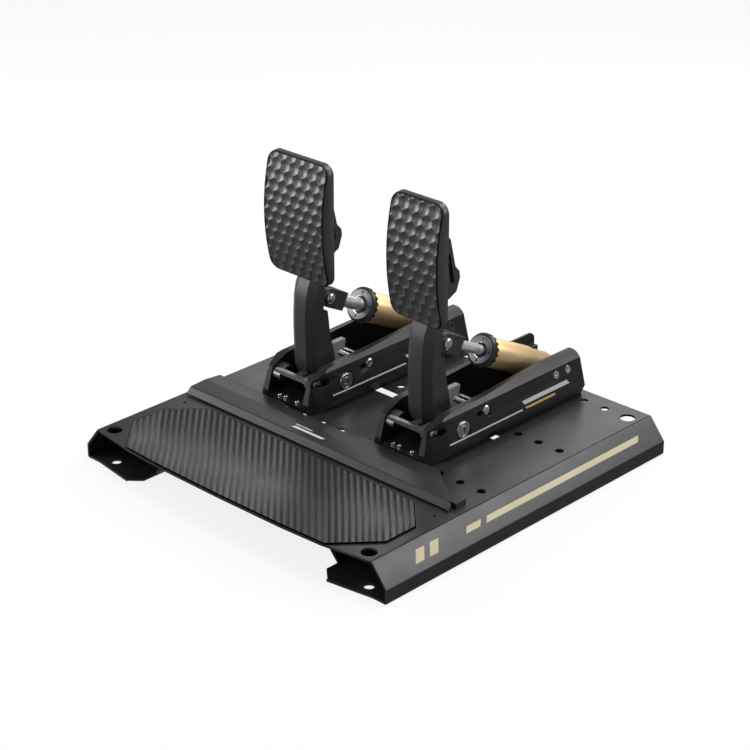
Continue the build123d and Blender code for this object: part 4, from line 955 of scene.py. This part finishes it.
def makeModuleScrews(module, p):
    x = modules[module]["x"]
    pedal = module + "_pedal"
    sides = (-1, 1)
    seats = [sideFace(module, side, back, p["ringHeight"], p["ringSink"])
             for side in sides for back in p["ringBacks"]]
    rings = ([point for point, _ in seats], [out for _, out in seats])
    sideGroups = [
        ("adjust", [spot(x + side * p["adjustReach"], *p["adjust"]) for side in sides],
         [xAxis * side for side in sides]),
        ("nut", [spot(x + side * p["nutReach"], *p["adjust"]) for side in sides],
         [xAxis * -side for side in sides]),
        ("nose", [spot(x + side * p["noseReach"], back, p["noseHeight"])
                  for side in sides for back in p["noseBacks"]],
         [xAxis * side for side in sides for _ in p["noseBacks"]])]
    if module == "throttle":
        sideGroups.append(("ring", *rings))
    makeScrews(module + "SideBolts", "base", "steel", [module + "_side_bolts"], sideGroups)
    if module == "brake":
        makeScrews("brakeRingScrews", "base", "black_steel", [], [("darkRing", *rings)])
    makeScrews(module + "FloorScrews", "base", "steel", [module + "_floor_screws"], [
        ("floor", [spot(x, back, p["floorHeight"]) for back in p["floorBacks"]], [zAxis] * 2),
        ("floorNut", [spot(x, back, p["plateUnder"]) for back in p["floorBacks"]], [-zAxis] * 2),
        ("small", [spot(x + reach, back, p["smallHeight"]) for reach, back in p["small"]], [zAxis] * 3)])
    makeScrews(module + "FaceScrews", pedal, "black_steel", [module + "_face_screws"], [
        ("face", [spot(x + reach, p["faceBack"], z) for reach in p["faceReaches"] for z in p["faceHeights"]],
         [yAxis] * 4)])
    bracketSpots = [(p["bracketBack"], z) for z in p["bracketHeights"]]
    makeScrews(module + "BracketBolts", pedal, "black_steel", [module + "_bracket_bolts"], [
        ("bracket", [spot(x + p["bracketReach"], *at) for at in bracketSpots], [xAxis] * 2),
        ("bracketNut", [spot(x - p["bracketReach"], *at) for at in bracketSpots], [-xAxis] * 2)])
    makeScrews(module + "ClevisBolt", pedal, "steel", [module + "_clevis_bolt"], [
        ("clevis", [spot(x + p["clevisReach"], *clevisPlace)], [xAxis]),
        ("clevisNut", [spot(x - p["clevisReach"], *clevisPlace)], [-xAxis])])


heelSpots = [spot(x, screwPlaces["heelBack"], screwPlaces["plateUnder"]) for x in screwPlaces["heelColumns"]]
makeScrews("heelScrews", "base", "steel", ["heel_stop_screws"], [("heel", heelSpots, [-zAxis] * 4)])
for module in modules:
    makeModuleScrews(module, screwPlaces)
print("stage 9: screws")

# Printed stripes: plain bars of the object's own colours, and one bar of painted shade along the right fold.

# The plate's right slope as (x, z) at its top fold and at its bottom fold.
slopeTop = (200.0, 39.8)
slopeBottom = (219.3, 15.9)
slopeOut = Vector((slopeTop[1] - slopeBottom[1], 0.0, slopeBottom[0] - slopeTop[0])).normalized()
# Rows of start, end, share of the slope at the bar's top and bottom edges, and slant.
slopeStripes = [(150.0, 392.0, 0.40, 0.60, 5.0), (120.0, 141.0, 0.40, 0.60, 5.0),
                (46.0, 58.0, 0.30, 0.70, 8.0), (66.0, 78.0, 0.30, 0.70, 8.0)]
# Painted shade along the right fold: x at its inner and outer edges, back at its front and rear ends.
paintedFoldShade = {"inner": 198.6, "outer": 199.6, "front": 1.0, "rear": 427.0}
# Corners as (back, z) on a side plate's outer face.
silverStripes = [[(204.0, 56.0), (318.0, 56.0), (316.8, 57.6), (202.8, 57.6)],
                 [(322.0, 61.0), (396.0, 61.0), (392.6, 65.4), (318.6, 65.4)]]
goldStripe = [(324.0, 56.0), (372.0, 56.0), (370.2, 58.2), (322.2, 58.2)]
# The heel stop's top as (back, z) at its front and rear edges, and corners as (x, back) on it.
stopFront = (126.5, 47.9)
stopRear = (148.0, 49.0)
stopStripes = [[(-46.0, 134.0), (-2.0, 134.0), (1.5, 137.4), (-42.5, 137.4)],
               [(-46.0, 140.0), (-22.0, 140.0), (-20.6, 141.4), (-44.6, 141.4)]]


def printAndShadeBars(name, body, slotName, material, bars, lift=0.03, thickness=0.05):
    bm = bmesh.new()
    for corners, out in bars:
        low = [bm.verts.new(corner + out * lift * mm) for corner in corners]
        high = [bm.verts.new(corner + out * (lift + thickness) * mm) for corner in corners]
        count = len(corners)
        bm.faces.new(high)
        bm.faces.new(list(reversed(low)))
        for n in range(count):
            m = (n + 1) % count
            bm.faces.new((low[n], low[m], high[m], high[n]))
    bmesh.ops.recalc_face_normals(bm, faces=bm.faces)
    return seat(plainObject(name, bm, [material], 30.0), body, slotName)


def onSlope(back, share):
    x, z = [top + (bottom - top) * share for top, bottom in zip(slopeTop, slopeBottom)]
    return spot(x, back, z)


def slopeBar(startBack, endBack, topShare, bottomShare, slant):
    return ([onSlope(startBack + slant, topShare), onSlope(endBack + slant, topShare),
             onSlope(endBack, bottomShare), onSlope(startBack, bottomShare)], slopeOut)


printAndShadeBars("slopeStripes", "base", "base_paint", "creamPrint", [slopeBar(*row) for row in slopeStripes])

# Painted shade: a dark hairline along the right fold, just inside the top face, where the bend's shade falls.
foldShadeCorners = [(paintedFoldShade["inner"], paintedFoldShade["front"]), (paintedFoldShade["outer"], paintedFoldShade["front"]),
               (paintedFoldShade["outer"], paintedFoldShade["rear"]), (paintedFoldShade["inner"], paintedFoldShade["rear"])]
printAndShadeBars("paintedFoldShade", "base", "base_paint", "seamShade", [
    ([spot(x, back, slopeTop[1]) for x, back in foldShadeCorners], zAxis)])


def sideBar(module, corners):
    points = [sideFace(module, 1, back, z) for back, z in corners]
    return [point for point, _ in points], points[0][1]


for module in modules:
    printAndShadeBars(module + "SilverStripes", "base", "black_aluminium", "silverPrint",
                [sideBar(module, corners) for corners in silverStripes])
    printAndShadeBars(module + "GoldStripe", "base", "black_aluminium", "goldPrint", [sideBar(module, goldStripe)])


def onStop(x, back):
    rise = (stopRear[1] - stopFront[1]) / (stopRear[0] - stopFront[0])
    return spot(x, back, stopFront[1] + (back - stopFront[0]) * rise + 0.02)


stopOut = Vector((0.0, stopFront[1] - stopRear[1], stopRear[0] - stopFront[0])).normalized()
printAndShadeBars("stopStripes", "base", "stop_paint", "silverPrint", [
    ([onStop(x, back) for x, back in corners], stopOut) for corners in stopStripes])
print("stage 10: printed stripes")

# Floor, backdrop and lights.

# The floor looks white to the camera, keeps the shadow, and is dim in the object's reflections.
floorSetup = {"half": 8.0, "colour": 0.80, "roughness": 0.9, "glow": 0.84, "mirrored": 0.20}


def makeFloor(s):
    material, tree, shader = newMaterial("paleFloor")
    give(tree, shader, {"Base Color": (*[s["colour"]] * 3, 1.0), "Roughness": s["roughness"]})
    path = tree.nodes.new("ShaderNodeLightPath")
    white = add(tree, "ShaderNodeEmission", {"Strength": 1.0})
    dim = add(tree, "ShaderNodeEmission", {"Strength": s["mirrored"]})
    seen = calc(tree, "MULTIPLY", path.outputs["Is Camera Ray"], s["glow"])
    lit = add(tree, "ShaderNodeMixShader", {
        "Fac": seen, 1: shader.outputs["BSDF"], 2: white.outputs["Emission"]})
    whole = add(tree, "ShaderNodeMixShader", {
        "Fac": path.outputs["Is Glossy Ray"], 1: lit.outputs["Shader"], 2: dim.outputs["Emission"]})
    give(tree, tree.nodes["Material Output"], {"Surface": whole.outputs["Shader"]})
    mesh = bpy.data.meshes.new("floor")
    half = s["half"]
    corners = [(-half, -half, 0), (half, -half, 0), (half, half, 0), (-half, half, 0)]
    mesh.from_pydata(corners, [], [(0, 1, 2, 3)])
    mesh.materials.append(material)
    newObject("floor", mesh)


makeFloor(floorSetup)

lamps = [
    {"name": "topSoftbox", "place": (0.25, 0.2, 2.2), "target": (0.0, 0.0, 0.1), "size": (1.4, 1.0),
     "power": 30.0},
    {"name": "highBackSoftbox", "place": (0.3, 1.9, 2.0), "target": (0.0, 0.0, 0.1), "size": (1.4, 0.9),
     "power": 25.0},
    {"name": "backSoftbox", "place": (-0.46, 1.25, 0.72), "target": (0.1, 0.0, 0.05), "size": (0.62, 0.6),
     "power": 2.4},
    {"name": "matSoftbox", "place": (-1.42, 1.35, 1.0), "target": (0.0, -0.1, 0.04), "size": (0.45, 0.5),
     "power": 2.0},
    {"name": "leftSoftbox", "place": (-1.7, -0.75, 0.6), "target": (0.0, 0.0, 0.25), "size": (1.5, 1.1),
     "power": 34.0},
    {"name": "rearRightSoftbox", "place": (1.5, 1.4, 1.2), "target": (0.0, 0.1, 0.1), "size": (1.2, 0.6),
     "power": 15.0},
    {"name": "frontFill", "place": (-0.3, -2.4, 0.9), "target": (0.0, 0.0, 0.2), "size": (1.2, 0.8),
     "power": 12.0}]


def makeLamp(s):
    data = bpy.data.lights.new(s["name"], "AREA")
    data.shape = "RECTANGLE"
    data.size, data.size_y = s["size"]
    data.energy = s["power"]
    lamp = newObject(s["name"], data)
    lamp.location = s["place"]
    aimAt(lamp, s["target"])


for lamp in lamps:
    makeLamp(lamp)

worldSetup = {"ambient": 0.12, "mirrored": 0.24}


def makeWorld(s):
    world = bpy.data.worlds.new("studio")
    scene.world = world
    world.use_nodes = True
    tree = world.node_tree
    background = tree.nodes["Background"]
    background.inputs["Color"].default_value = (1.0, 1.0, 1.0, 1.0)
    path = tree.nodes.new("ShaderNodeLightPath")
    sky = add(tree, "ShaderNodeMapRange", {"Value": path.outputs["Is Glossy Ray"], "To Min": s["ambient"],
                                           "To Max": s["mirrored"]})
    whole = add(tree, "ShaderNodeMapRange", {"Value": path.outputs["Is Camera Ray"],
                                             "To Min": sky.outputs["Result"], "To Max": 1.0})
    tree.links.new(whole.outputs["Result"], background.inputs["Strength"])


makeWorld(worldSetup)
scene.view_settings.view_transform = "Standard"
print("stage 11: studio")
